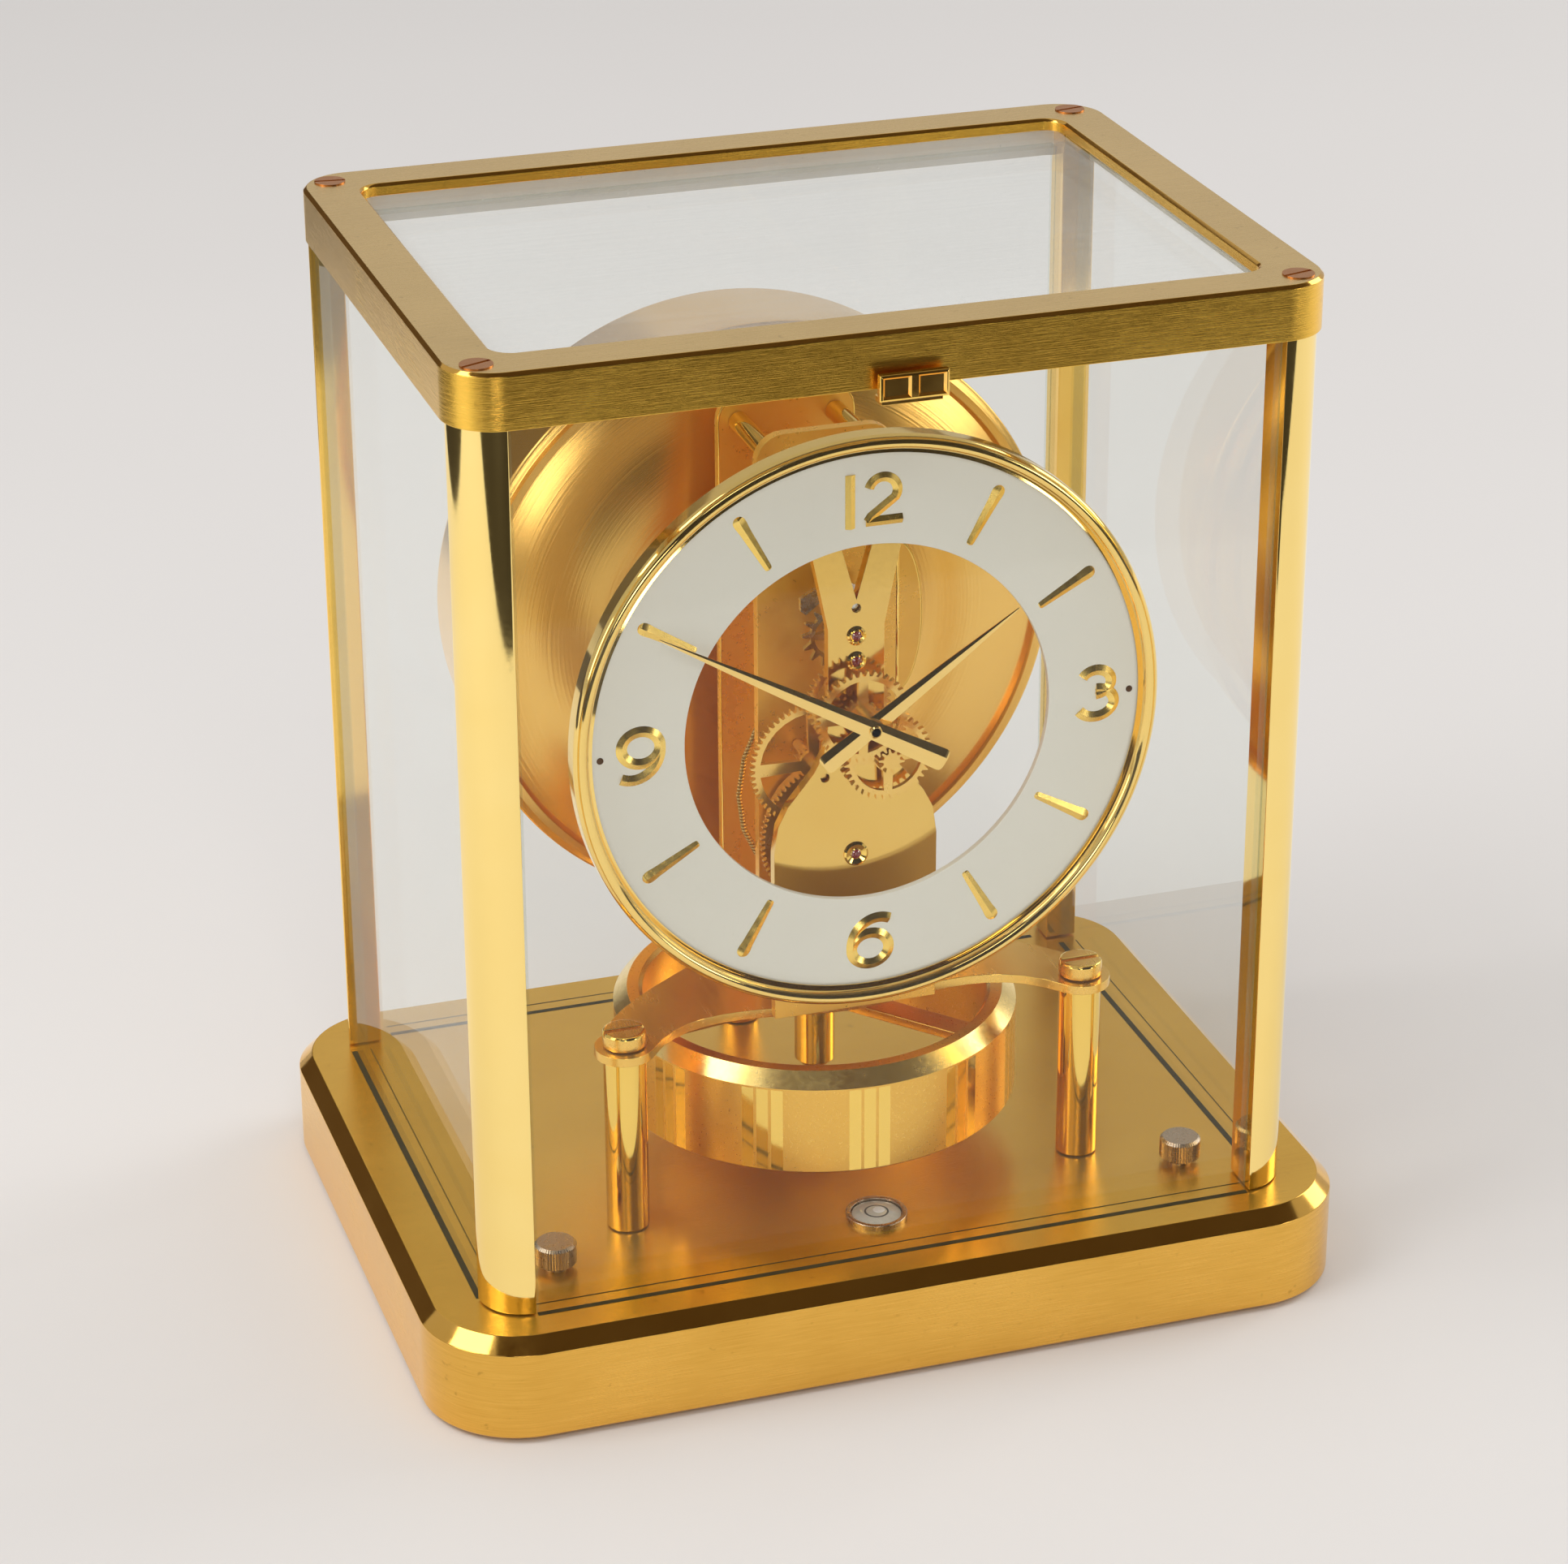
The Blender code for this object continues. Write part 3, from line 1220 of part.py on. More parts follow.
def hand(length, tail, width, hub, bore):
    """Long taper with a blunt counterpoise, pointing up about its own boss."""
    shoulder = length * HAND_SHOULDER
    lean = math.degrees(math.asin(width / 2 / hub))
    right = [
        Vector((HAND_TIP / 2, length)),
        Vector((width / 2, shoulder)),
    ]
    boss = arc((0, 0), hub, -90 + lean, 90 - lean, CORNER_STEPS)
    tail_end = [
        Vector((width / 2, -tail + width / 2)),
        Vector((width / 4, -tail)),
    ]
    outline = mirrored(tail_end[::-1] + boss + right[::-1])
    return prism(outline, 0.0, HAND_THICKNESS, [circle(bore, PIVOT_STEPS)])


def hands():
    hour_bore = HOUR_PIPE_RADIUS + SEAT_GAP
    hour = hand(
        HOUR_HAND_LENGTH,
        HOUR_HAND_TAIL,
        HOUR_HAND_WIDTH,
        hour_bore + HAND_HUB_WALL,
        hour_bore,
    )
    shifted(spun(hour, -HOUR_HAND_ANGLE), (0.0, 0.0, HOUR_HAND_DEPTH))
    place("hour_hand", hour, polished_brass(), axle_at(CENTRE), FRONT_VIEW)
    minute_bore = ARBOR_RADIUS + SEAT_GAP
    minute = hand(
        MINUTE_HAND_LENGTH,
        MINUTE_HAND_TAIL,
        MINUTE_HAND_WIDTH,
        minute_bore + HAND_HUB_WALL,
        minute_bore,
    )
    shifted(spun(minute, -MINUTE_HAND_ANGLE), (0.0, 0.0, MINUTE_HAND_DEPTH))
    place("minute_hand", minute, polished_brass(), axle_at(CENTRE), FRONT_VIEW)


def dial():
    """Ring dial, open in the middle, and the polished bezel that clips over its edge."""
    ring = [
        (DIAL_APERTURE, DIAL_BACK),
        (DIAL_RADIUS, DIAL_BACK),
        (DIAL_RADIUS, DIAL_FACE),
        (DIAL_APERTURE, DIAL_FACE),
    ]
    at = axle_at(CENTRE)
    place("dial_ring", turned(ring, DIAL_STEPS, True), dial_white(), at, FRONT_VIEW)
    inside = DIAL_RADIUS + SEAT_GAP
    lip = DIAL_RADIUS - BEZEL_LIP
    seat = DIAL_FACE + SEAT_GAP
    crown = DIAL_FACE + BEZEL_FRONT
    bead = [
        (inside, DIAL_BACK - BEZEL_BEHIND),
        (BEZEL_RADIUS, DIAL_BACK - BEZEL_BEHIND),
        (BEZEL_RADIUS, seat),
    ]
    rise = crown - seat
    middle = (lip + BEZEL_RADIUS) / 2
    half = (BEZEL_RADIUS - lip) / 2
    for step in range(1, CORNER_STEPS):
        turn = math.pi * step / CORNER_STEPS
        bead.append((middle + half * math.cos(turn), seat + rise * math.sin(turn)))
    bead += [(lip, seat), (inside, seat)]
    place("bezel", turned(bead, DIAL_STEPS, True), polished_brass(), at, FRONT_VIEW)


# Bellows drum


def bellows_drum():
    """Spun cover and can that hold the gas capsule, carried on the rear frame by a bored hub."""
    at = (0.0, 0.0, DRUM_HEIGHT)
    face = -DRUM_FACE_BACK
    inside = face - DRUM_WALL
    rim_back = face - DRUM_RIM_DEPTH
    can = DRUM_RADIUS - DRUM_WALL - SEAT_GAP
    hub_front = -REAR_FRAME_BACK - SEAT_GAP
    shell = [
        (DRUM_CORD_HOLE, inside),
        (DRUM_RADIUS - DRUM_WALL, inside),
        (DRUM_RADIUS - DRUM_WALL, rim_back),
        (DRUM_RADIUS, rim_back),
    ]
    centre = Vector((DRUM_RADIUS - DRUM_ROUND, face - DRUM_ROUND))
    shell += [tuple(p) for p in arc(centre, DRUM_ROUND, 0, 90, CORNER_STEPS // 2)]
    shell.append((DRUM_CORD_HOLE, face + DRUM_CONE))
    place("drum_cover", turned(shell, ROUND_STEPS, True), satin_gilt(), at, FRONT_VIEW)
    hub_back = face + DRUM_CONE + SEAT_GAP
    boss = [
        (DRUM_CORD_HOLE, hub_back),
        (DRUM_HUB_RADIUS, hub_back),
        (DRUM_HUB_RADIUS, hub_front),
        (DRUM_CORD_HOLE, hub_front),
    ]
    place("drum_hub", turned(boss, SMALL_STEPS, True), gilt(), at, FRONT_VIEW)
    back = -DRUM_BACK
    mouth = inside - SEAT_GAP
    corner = Vector((can - DRUM_ROUND, back + DRUM_ROUND))
    outer = [tuple(p) for p in arc(corner, DRUM_ROUND, -90, 0, CORNER_STEPS // 2)]
    inner_radius = can - DRUM_WALL
    pan = [(0.0, back), *outer, (can, mouth), (inner_radius, mouth)]
    pan += [(inner_radius, back + DRUM_ROUND), (inner_radius - DRUM_ROUND, back + DRUM_WALL)]
    pan.append((0.0, back + DRUM_WALL))
    place("drum_can", turned(pan, ROUND_STEPS), satin_gilt(), at, FRONT_VIEW)
    seat = back + DRUM_WALL + SEAT_GAP
    pitch = BELLOWS_LENGTH / BELLOWS_FOLDS
    folds = [(0.0, seat)]
    for fold in range(BELLOWS_FOLDS):
        folds.append((BELLOWS_RADIUS - BELLOWS_FOLD, seat + pitch * fold))
        folds.append((BELLOWS_RADIUS, seat + pitch * (fold + 0.5)))
    folds.append((BELLOWS_RADIUS - BELLOWS_FOLD, seat + BELLOWS_LENGTH))
    folds.append((0.0, seat + BELLOWS_LENGTH))
    place("bellows", turned(folds, ROUND_STEPS), gilt(), at, FRONT_VIEW)


def winding_chain():
    """Fine chain that hangs behind the back plate, bowed out beside the barrel."""
    path = bpy.data.curves.new("winding_chain", "CURVE")
    path.dimensions = "3D"
    path.bevel_depth = CHAIN_RADIUS
    path.bevel_resolution = 2
    path.use_fill_caps = True
    line = path.splines.new("POLY")
    line.points.add(len(CHAIN_ROUTE_DROP) - 1)
    for point, drop, out in zip(line.points, CHAIN_ROUTE_DROP, CHAIN_ROUTE_OUT):
        point.co = (CHAIN_SIDE - out, -CHAIN_DEPTH, DIAL_HEIGHT - drop, 1.0)
    path.materials.append(gilt())
    piece = bpy.data.objects.new("winding_chain", path)
    bpy.context.collection.objects.link(piece)


def build():
    for old in list(bpy.data.objects):
        bpy.data.objects.remove(old, do_unlink=True)
    plinth()
    corner_pillars()
    top_frame()
    panes()
    glass_pull()
    levelling_feet()
    rear_foot()
    spirit_level()
    bridge()
    bridge_pillars()
    balance()
    suspension()
    front_plate()
    back_plates()
    movement_pillars()
    barrel()
    second_wheel()
    centre_wheel()
    escape_wheel()
    pallet_lever()
    motion_work()
    hands()
    dial()
    bellows_drum()
    winding_chain()


build()
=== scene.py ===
import math

import bmesh
import bpy
from mathutils import Matrix, Vector


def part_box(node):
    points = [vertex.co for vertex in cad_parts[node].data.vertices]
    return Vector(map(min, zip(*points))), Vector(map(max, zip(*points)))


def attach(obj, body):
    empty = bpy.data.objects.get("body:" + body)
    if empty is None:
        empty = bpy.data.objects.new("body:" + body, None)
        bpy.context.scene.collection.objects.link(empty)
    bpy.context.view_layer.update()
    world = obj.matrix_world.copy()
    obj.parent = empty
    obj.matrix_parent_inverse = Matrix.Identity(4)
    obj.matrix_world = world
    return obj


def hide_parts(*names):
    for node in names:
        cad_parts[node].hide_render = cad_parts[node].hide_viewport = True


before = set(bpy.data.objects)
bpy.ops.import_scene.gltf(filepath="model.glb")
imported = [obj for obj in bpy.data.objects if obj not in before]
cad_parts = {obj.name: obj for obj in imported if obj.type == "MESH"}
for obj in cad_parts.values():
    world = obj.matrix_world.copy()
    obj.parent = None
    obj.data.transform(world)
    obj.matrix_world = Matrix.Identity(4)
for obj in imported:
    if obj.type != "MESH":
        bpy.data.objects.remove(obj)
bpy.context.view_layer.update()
scene = bpy.context.scene
scene.view_settings.view_transform = "Standard"

# Camera
# It stands in front of the clock, a little to its left, and looks down on the roof.
# The place, the turn and the lens come from the edges of the case in the photograph.
camera_place = Vector((-0.26626, -0.80797, 0.49301))
camera_azimuth = math.radians(-18.01)
camera_elevation = math.radians(24.68)
camera_roll = math.radians(-0.282)
focal_pixels = 5424.4
picture_width = 1932
camera_back = Vector((
    math.sin(camera_azimuth) * math.cos(camera_elevation),
    -math.cos(camera_azimuth) * math.cos(camera_elevation),
    math.sin(camera_elevation),
))
level_right = Vector((0, 0, 1)).cross(camera_back).normalized()
level_up = camera_back.cross(level_right)
camera_right = level_right * math.cos(camera_roll) + level_up * math.sin(camera_roll)
camera_up = level_up * math.cos(camera_roll) - level_right * math.sin(camera_roll)
camera = bpy.data.objects.new("camera", bpy.data.cameras.new("camera"))
scene.collection.objects.link(camera)
camera.matrix_world = Matrix((camera_right, camera_up, camera_back)).transposed().to_4x4()
camera.location = camera_place
camera.data.sensor_width = 36
camera.data.sensor_fit = "HORIZONTAL"
camera.data.lens = focal_pixels / picture_width * camera.data.sensor_width
camera.data.clip_start = 0.01
scene.camera = camera


# Table and studio light
# The clock stands on a pale, matt sheet under three soft boxes: left, right and front.
# Black, brown and glowing cards, which only reflections see, give the metal its streaks: painted dark
# reflections and painted highlights, not lamps.
class Term:
    """One output of a finish's nodes, so that sums on it read as plain expressions."""

    def __init__(self, finish, socket):
        self.finish = finish
        self.socket = socket

    def sum(self, operation, first, second):
        return self.finish.node("ShaderNodeMath", {"operation": operation}, {0: first, 1: second})

    def __add__(self, other):
        return self.sum("ADD", self, other)

    def __radd__(self, other):
        return self.sum("ADD", other, self)

    def __mul__(self, other):
        return self.sum("MULTIPLY", self, other)

    def __rmul__(self, other):
        return self.sum("MULTIPLY", other, self)

    def __pow__(self, other):
        return self.sum("POWER", self, other)


class Finish:
    """A material round one Principled shader, with one method that adds every other node."""

    def __init__(self, name, **sockets):
        self.material = bpy.data.materials.new(name)
        self.material.use_nodes = True
        self.tree = self.material.node_tree
        self.skin = self.tree.nodes["Principled BSDF"]
        self.shine = Term(self, self.skin.outputs[0])
        self.output = self.tree.nodes["Material Output"]
        self.set(self.skin, {key.replace("_", " "): value for key, value in sockets.items()})

    def set(self, node, sockets):
        for key, value in sockets.items():
            if isinstance(value, Term):
                self.tree.links.new(value.socket, node.inputs[key])
            else:
                node.inputs[key].default_value = value

    def node(self, kind, settings, sockets, output=0):
        made = self.tree.nodes.new(kind)
        for key, value in settings.items():
            setattr(made, key, value)
        self.set(made, sockets)
        return Term(self, made.outputs[output])

    def coordinates(self, scale=(1, 1, 1), centre=(0, 0, 0)):
        """Object coordinates, shifted to a centre and then stretched."""
        place = self.node("ShaderNodeTexCoord", {}, {}, "Object")
        shifted = self.node("ShaderNodeVectorMath", {"operation": "SUBTRACT"}, {0: place, 1: centre})
        return self.node("ShaderNodeVectorMath", {"operation": "MULTIPLY"}, {0: shifted, 1: scale})

    def noise(self, where, scale=1.0, detail=2.0, rough=0.5):
        sockets = {"Vector": where, "Scale": scale, "Detail": detail, "Roughness": rough}
        return self.node("ShaderNodeTexNoise", {}, sockets, "Fac")

    def blend(self, share, first, second):
        settings = {"data_type": "RGBA", "clamp_factor": True}
        return self.node("ShaderNodeMix", settings, {0: share, 6: first, 7: second}, 2)

    def stretch(self, value, low, high, to_low=0.0, to_high=1.0):
        """The value from low to high, put onto another range and held inside it."""
        ends = {"From Min": low, "From Max": high, "To Min": to_low, "To Max": to_high}
        return self.node("ShaderNodeMapRange", {"clamp": True}, {"Value": value, **ends})

    def bump(self, height, strength, distance):
        sockets = {"Height": height, "Strength": strength, "Distance": distance}
        return self.node("ShaderNodeBump", {}, sockets)

    def layered(self, share, under, over):
        return self.node("ShaderNodeMixShader", {}, {0: share, 1: under, 2: over})

    def clouded(self, dark, light, scale):
        """Colours the skin in soft clouds between two tones."""
        cloud = self.noise(self.coordinates(), scale)
        self.set(self.skin, {"Base Color": self.blend(cloud, dark, light)})


def sheet_of(name, width, depth, place, finish, turn=None):
    """One flat sheet of the studio, facing up before it is turned."""
    shape = bmesh.new()
    bmesh.ops.create_grid(shape, x_segments=1, y_segments=1, size=0.5)
    bmesh.ops.scale(shape, vec=(width, depth, 1), verts=shape.verts)
    if turn:
        bmesh.ops.rotate(shape, matrix=turn, verts=shape.verts)
    bmesh.ops.translate(shape, vec=place, verts=shape.verts)
    mesh = bpy.data.meshes.new(name)
    shape.to_mesh(mesh)
    shape.free()
    mesh.materials.append(finish.material)
    made = bpy.data.objects.new(name, mesh)
    scene.collection.objects.link(made)
    return made


table_size = 14.0
table = Finish("pale table sheet", Roughness=0.75, Specular_IOR_Level=0.2)
table_cloud = table.noise(table.coordinates(), 3.0, 3.0)
table_tone = table.blend(table_cloud, (0.80, 0.775, 0.76, 1), (0.84, 0.815, 0.80, 1))
# Seen in reflections the table is painted paler than the camera sees it: a painted brightening of its
# reflections in the metal.
in_metal = table.node("ShaderNodeLightPath", {}, {}, "Is Glossy Ray")
table.set(table.skin, {"Base Color": table.blend(in_metal, table_tone, (0.96, 0.945, 0.91, 1))})
sheet_of("table", table_size, table_size, (0, 0, 0), table)

room = bpy.data.worlds.new("studio room")
room.use_nodes = True
room_light = room.node_tree.nodes["Background"].inputs
room_light["Color"].default_value = (1.0, 0.985, 0.965, 1)
room_light["Strength"].default_value = 0.54
scene.world = room


def soft_box(name, place, width, height, power):
    """A rectangular soft box that faces the clock."""
    lamp = bpy.data.lights.new(name, "AREA")
    lamp.shape = "RECTANGLE"
    lamp.size = width
    lamp.size_y = height
    lamp.energy = power
    made = bpy.data.objects.new(name, lamp)
    made.location = place
    made.rotation_euler = (clock_middle - Vector(place)).to_track_quat("-Z", "Y").to_euler()
    scene.collection.objects.link(made)


clock_middle = Vector((0, 0, 0.1))
soft_box("soft_box_left", (-1.25, -0.15, 1.55), 1.1, 1.1, 15.0)
soft_box("soft_box_right", (1.75, 0.35, 0.95), 0.9, 1.2, 10.0)
soft_box("soft_box_front", (-0.45, -1.95, 1.75), 0.8, 0.8, 8.0)


def card_of(name, tone, glow=0.0):
    """A studio card, matt, with the cloud of well-used board, and glowing by itself if it has a glow: a
    painted highlight for reflections.
    """
    made = Finish(name, Roughness=0.9)
    worn = tuple(0.8 * share for share in tone)
    made.clouded(worn + (1,), tone + (1,), 4.0)
    if glow:
        made.set(made.skin, {"Emission Color": (1.0, 0.97, 0.92, 1), "Emission Strength": glow})
    return made


upright = Matrix.Rotation(math.radians(90), 3, "X")
sideways = Matrix.Rotation(math.radians(90), 3, "Y")
aslant = Matrix.Rotation(math.radians(-32.4), 3, "Z")
black = card_of("black card", (0.03, 0.024, 0.018))
brown = card_of("brown card", (0.12, 0.085, 0.05))
white = card_of("dim glowing card", (0.9, 0.9, 0.9), 3.2)
glowing = card_of("glowing card", (0.9, 0.9, 0.9), 5.5)
# None of these cards lights anything or shows to the camera: the black and brown ones paint dark
# reflections, and the glowing ones, the white card among them, paint highlights, two of them on the drum
# cover's dish.
for card in (
    sheet_of("card_front", 4.0, 1.6, (1.0, -1.255, 0.004), black),
    sheet_of("card_left", 1.0, 1.0, (-0.822, 0.653, 0.005), black, aslant),
    sheet_of("card_far_front", 3.4, 2.4, (0.45, -2.1, 1.2), black, upright),
    sheet_of("card_behind", 1.3, 0.7, (-0.62, 1.35, 0.48), brown, upright),
    sheet_of("card_above", 2.4, 1.5, (0.42, -0.75, 1.3), brown),
    sheet_of("card_glow_left", 0.16, 0.18, (-0.21, -0.95, 0.135), glowing, upright),
    sheet_of("card_glow_right", 0.36, 0.5, (1.32, -1.5, 0.25), glowing, upright),
    sheet_of("card_low", 0.5, 0.7, (-1.55, -0.50, 0.40), white, sideways),
):
    card.visible_camera = False
    card.visible_diffuse = False
    card.visible_shadow = False
    card.visible_transmission = False


# Plinth
# The heavy base is a brass casting, hollow underneath. Its sides and deck are brushed along
# their length, and the chamfer round the deck is polished after the brushing.
case_low, case_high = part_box("plinth")
plinth_width = case_high.x - case_low.x
plinth_depth = case_high.y - case_low.y
plinth_corner = 0.0210
plinth_chamfer = 0.0030
plinth_wall = 0.0070
plinth_deck = 0.0080
corner_steps = 24


def rounded_loop(shape, width, depth, corner, height):
    """The edges of a flat, rounded rectangle, with its face filled in."""
    made = bmesh.ops.create_grid(shape, x_segments=1, y_segments=1, size=0.5)["verts"]
    bmesh.ops.scale(shape, vec=(width, depth, 1), verts=made)
    bmesh.ops.translate(shape, vec=(0, 0, height), verts=made)
    bmesh.ops.bevel(
        shape, geom=made, offset=corner, offset_type="OFFSET", segments=corner_steps,
        profile=0.5, affect="VERTICES", material=-1,
    )
    return list(shape.edges)


def picked(geometry, kind):
    """The points, or the edges, among what an operator gives back."""
    return [item for item in geometry if isinstance(item, kind)]


def drawn_out(shape, edges, old, new):
    """Extrudes a rounded rectangle's edges to the next one's size, corner and height."""
    made = bmesh.ops.extrude_edge_only(shape, edges=edges)["geom"]
    for vert in picked(made, bmesh.types.BMVert):
        side = Vector((math.copysign(1, vert.co.x), math.copysign(1, vert.co.y)))
        away = vert.co.xy - side * (Vector(old[:2]) / 2 - Vector((old[2], old[2])))
        heart = side * (Vector(new[:2]) / 2 - Vector((new[2], new[2])))
        vert.co.xy = heart + away * (new[2] / old[2])
        vert.co.z = new[3]
    return picked(made, bmesh.types.BMEdge)


def stacked_loops(loops, ring=False):
    """A solid through rounded rectangles, closed at both ends, or back on itself as a ring."""
    shape = bmesh.new()
    edges = rounded_loop(shape, *loops[0])
    if ring:
        bmesh.ops.delete(shape, geom=list(shape.faces), context="FACES_ONLY")
        loops = loops + loops[:1]
    for old, new in zip(loops, loops[1:]):
        edges = drawn_out(shape, edges, old, new)
    if ring:
        bmesh.ops.remove_doubles(shape, verts=shape.verts, dist=1e-6)
    else:
        bmesh.ops.contextual_create(shape, geom=edges)
    bmesh.ops.recalc_face_normals(shape, faces=shape.faces)
    return shape


def hard_edges(shape, angle):
    return [e for e in shape.edges if e.is_manifold and e.calc_face_angle(0.0) > math.radians(angle)]


def ease(shape, width, angle=30, steps=2):
    """Rounds every edge that is sharper than the angle, and gives the faces of the rounding."""
    return bmesh.ops.bevel(
        shape, geom=hard_edges(shape, angle), offset=width, offset_type="OFFSET", segments=steps,
        profile=0.5, affect="EDGES", clamp_overlap=True, material=-1,
    )["faces"]


def make_piece(name, shape, finishes, body, nodes=(), angle=32):
    """Turns a shape into an object with its finishes, and puts it on its body."""
    for face in shape.faces:
        face.smooth = True
    for edge in hard_edges(shape, angle):
        edge.smooth = False
    mesh = bpy.data.meshes.new(name)
    shape.to_mesh(mesh)
    shape.free()
    for finish in finishes:
        mesh.materials.append(finish.material)
    made = bpy.data.objects.new(name, mesh)
    scene.collection.objects.link(made)
    made.modifiers.new("even shading", "WEIGHTED_NORMAL").keep_sharp = True
    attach(made, body)
    if nodes:
        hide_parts(*nodes)
    return made


def brushed(name, light, dark, rough, grain, metal=1.0):
    """Brass brushed one way. The grain is fine across the lines and coarse along them."""
    made = Finish(name, Metallic=metal)
    lines = made.noise(made.coordinates(grain), 1.0, 4.0, 0.65)
    cloud = made.noise(made.coordinates(), 38.0, 3.0)
    spots = made.stretch(made.noise(made.coordinates(), 420.0, 2.0, 0.7), 0.66, 0.76)
    tone = made.stretch(lines * 0.6 + cloud * 0.4, 0.25, 0.75)
    worn = made.blend(tone, dark, light)
    spot = tuple(0.45 * share for share in dark[:3]) + (1,)
    made.set(made.skin, {
        "Base Color": made.blend(spots * 0.35, worn, spot),
        "Roughness": made.stretch(lines * 0.6 + cloud * 0.4, 0.3, 0.7, rough - 0.05, rough + 0.07),
        "Normal": made.bump(lines, 0.6, 0.00006),
    })
    return made


def polished(name, light, dark, rough=0.05, deep=0.000012, metal=1.0):
    """Polished metal with faint hazing and a trace of hand-polishing waves."""
    made = Finish(name, Metallic=metal)
    cloud = made.noise(made.coordinates(), 60.0, 3.0)
    fine = made.noise(made.coordinates(), 900.0, 3.0, 0.6)
    made.set(made.skin, {
        "Base Color": made.blend(cloud, dark, light),
        "Roughness": made.stretch(fine * 0.5 + cloud * 0.5, 0.3, 0.7, rough * 0.6, rough * 1.6),
        "Normal": made.bump(fine + cloud * 2.0, 0.10, deep),
    })
    return made


side_grain = (90, 90, 4500)
top_grain = (90, 4500, 90)
# The side and deck are one brass in two copies: the deck is painted paler and the side darker, painted
# light on the deck and painted shade on the side.
brushed_side = brushed(
    "brushed brass side", (0.88, 0.52, 0.115, 1), (0.64, 0.34, 0.052, 1), 0.24, side_grain,
)
brushed_deck = brushed(
    "brushed brass deck", (0.96, 0.58, 0.10, 1), (0.78, 0.43, 0.055, 1), 0.20, top_grain, 0.8,
)
polished_chamfer = polished(
    "polished brass chamfer", (0.88, 0.52, 0.12, 1), (0.78, 0.42, 0.075, 1), 0.10,
)
lift = case_low.z
deck = case_high.z
inside_width = plinth_width - 2 * plinth_wall
inside_depth = plinth_depth - 2 * plinth_wall
inside_corner = plinth_corner - plinth_wall
foot_ease = 0.0006
top_width = plinth_width - 2 * plinth_chamfer
top_depth = plinth_depth - 2 * plinth_chamfer
plinth = stacked_loops([
    (inside_width, inside_depth, inside_corner, deck - plinth_deck),
    (inside_width, inside_depth, inside_corner, lift),
    (plinth_width - 2 * foot_ease, plinth_depth - 2 * foot_ease, plinth_corner - foot_ease, lift),
    (plinth_width, plinth_depth, plinth_corner, lift + foot_ease),
    (plinth_width, plinth_depth, plinth_corner, deck - plinth_chamfer),
    (top_width, top_depth, plinth_corner - plinth_chamfer, deck),
])


level_slope = 0.9
chamfer_slope = 0.4


def by_slope(shape):
    """Numbers the faces: 0 for upright ones, 1 for chamfers and 2 for level ones."""
    for face in shape.faces:
        slope = abs(face.normal.z)
        face.material_index = 2 if slope > level_slope else 1 if slope > chamfer_slope else 0


by_slope(plinth)
ease(plinth, 0.00015, angle=40)
plinth_finishes = [brushed_side, polished_chamfer, brushed_deck]
make_piece("base", plinth, plinth_finishes, "case", ["plinth"], angle=20)

# Sill grooves
# Each pane stands in a narrow groove milled in the deck. The groove is drawn as flat strips painted
# dark, a painted shade of the recess, which show as a thin line round the foot of the glass.
groove_shade = Finish("painted groove shade", Metallic=0.3)
groove_cloud = groove_shade.noise(groove_shade.coordinates(), 300.0, 3.0)
groove_shade.set(groove_shade.skin, {
    "Base Color": groove_shade.blend(
        groove_cloud, (0.035, 0.028, 0.010, 1), (0.10, 0.075, 0.028, 1),
    ),
    "Roughness": groove_cloud * 0.3 + 0.5,
})
groove_near = 0.0013
groove_far = 0.0003
groove_strip_level = deck + 0.00004
for side in ("front", "back", "left", "right"):
    low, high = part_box("glass_" + side)
    thin = 1 if side in ("front", "back") else 0
    groove = bmesh.new()
    for start, width in ((low[thin] - groove_near, groove_near), (high[thin], groove_far)):
        strip = bmesh.ops.create_grid(groove, x_segments=1, y_segments=1, size=0.5)["verts"]
        size = high - low
        size[thin] = width
        middle = (low + high) / 2
        middle[thin] = start + width / 2
        bmesh.ops.scale(groove, vec=(size.x, size.y, 1), verts=strip)
        bmesh.ops.translate(groove, vec=(middle.x, middle.y, groove_strip_level), verts=strip)
    make_piece("groove_" + side, groove, [groove_shade], "case")

# Corner pillars
# Four quarter-round bars of polished brass stand on the deck and carry the roof frame.
# Each is screwed from below and from above, and its two flat sides face the panes. The back two
# are slimmer.
pillar_brass = polished("polished brass pillar", (1.0, 0.765, 0.30, 1), (0.97, 0.71, 0.24, 1), 0.05)
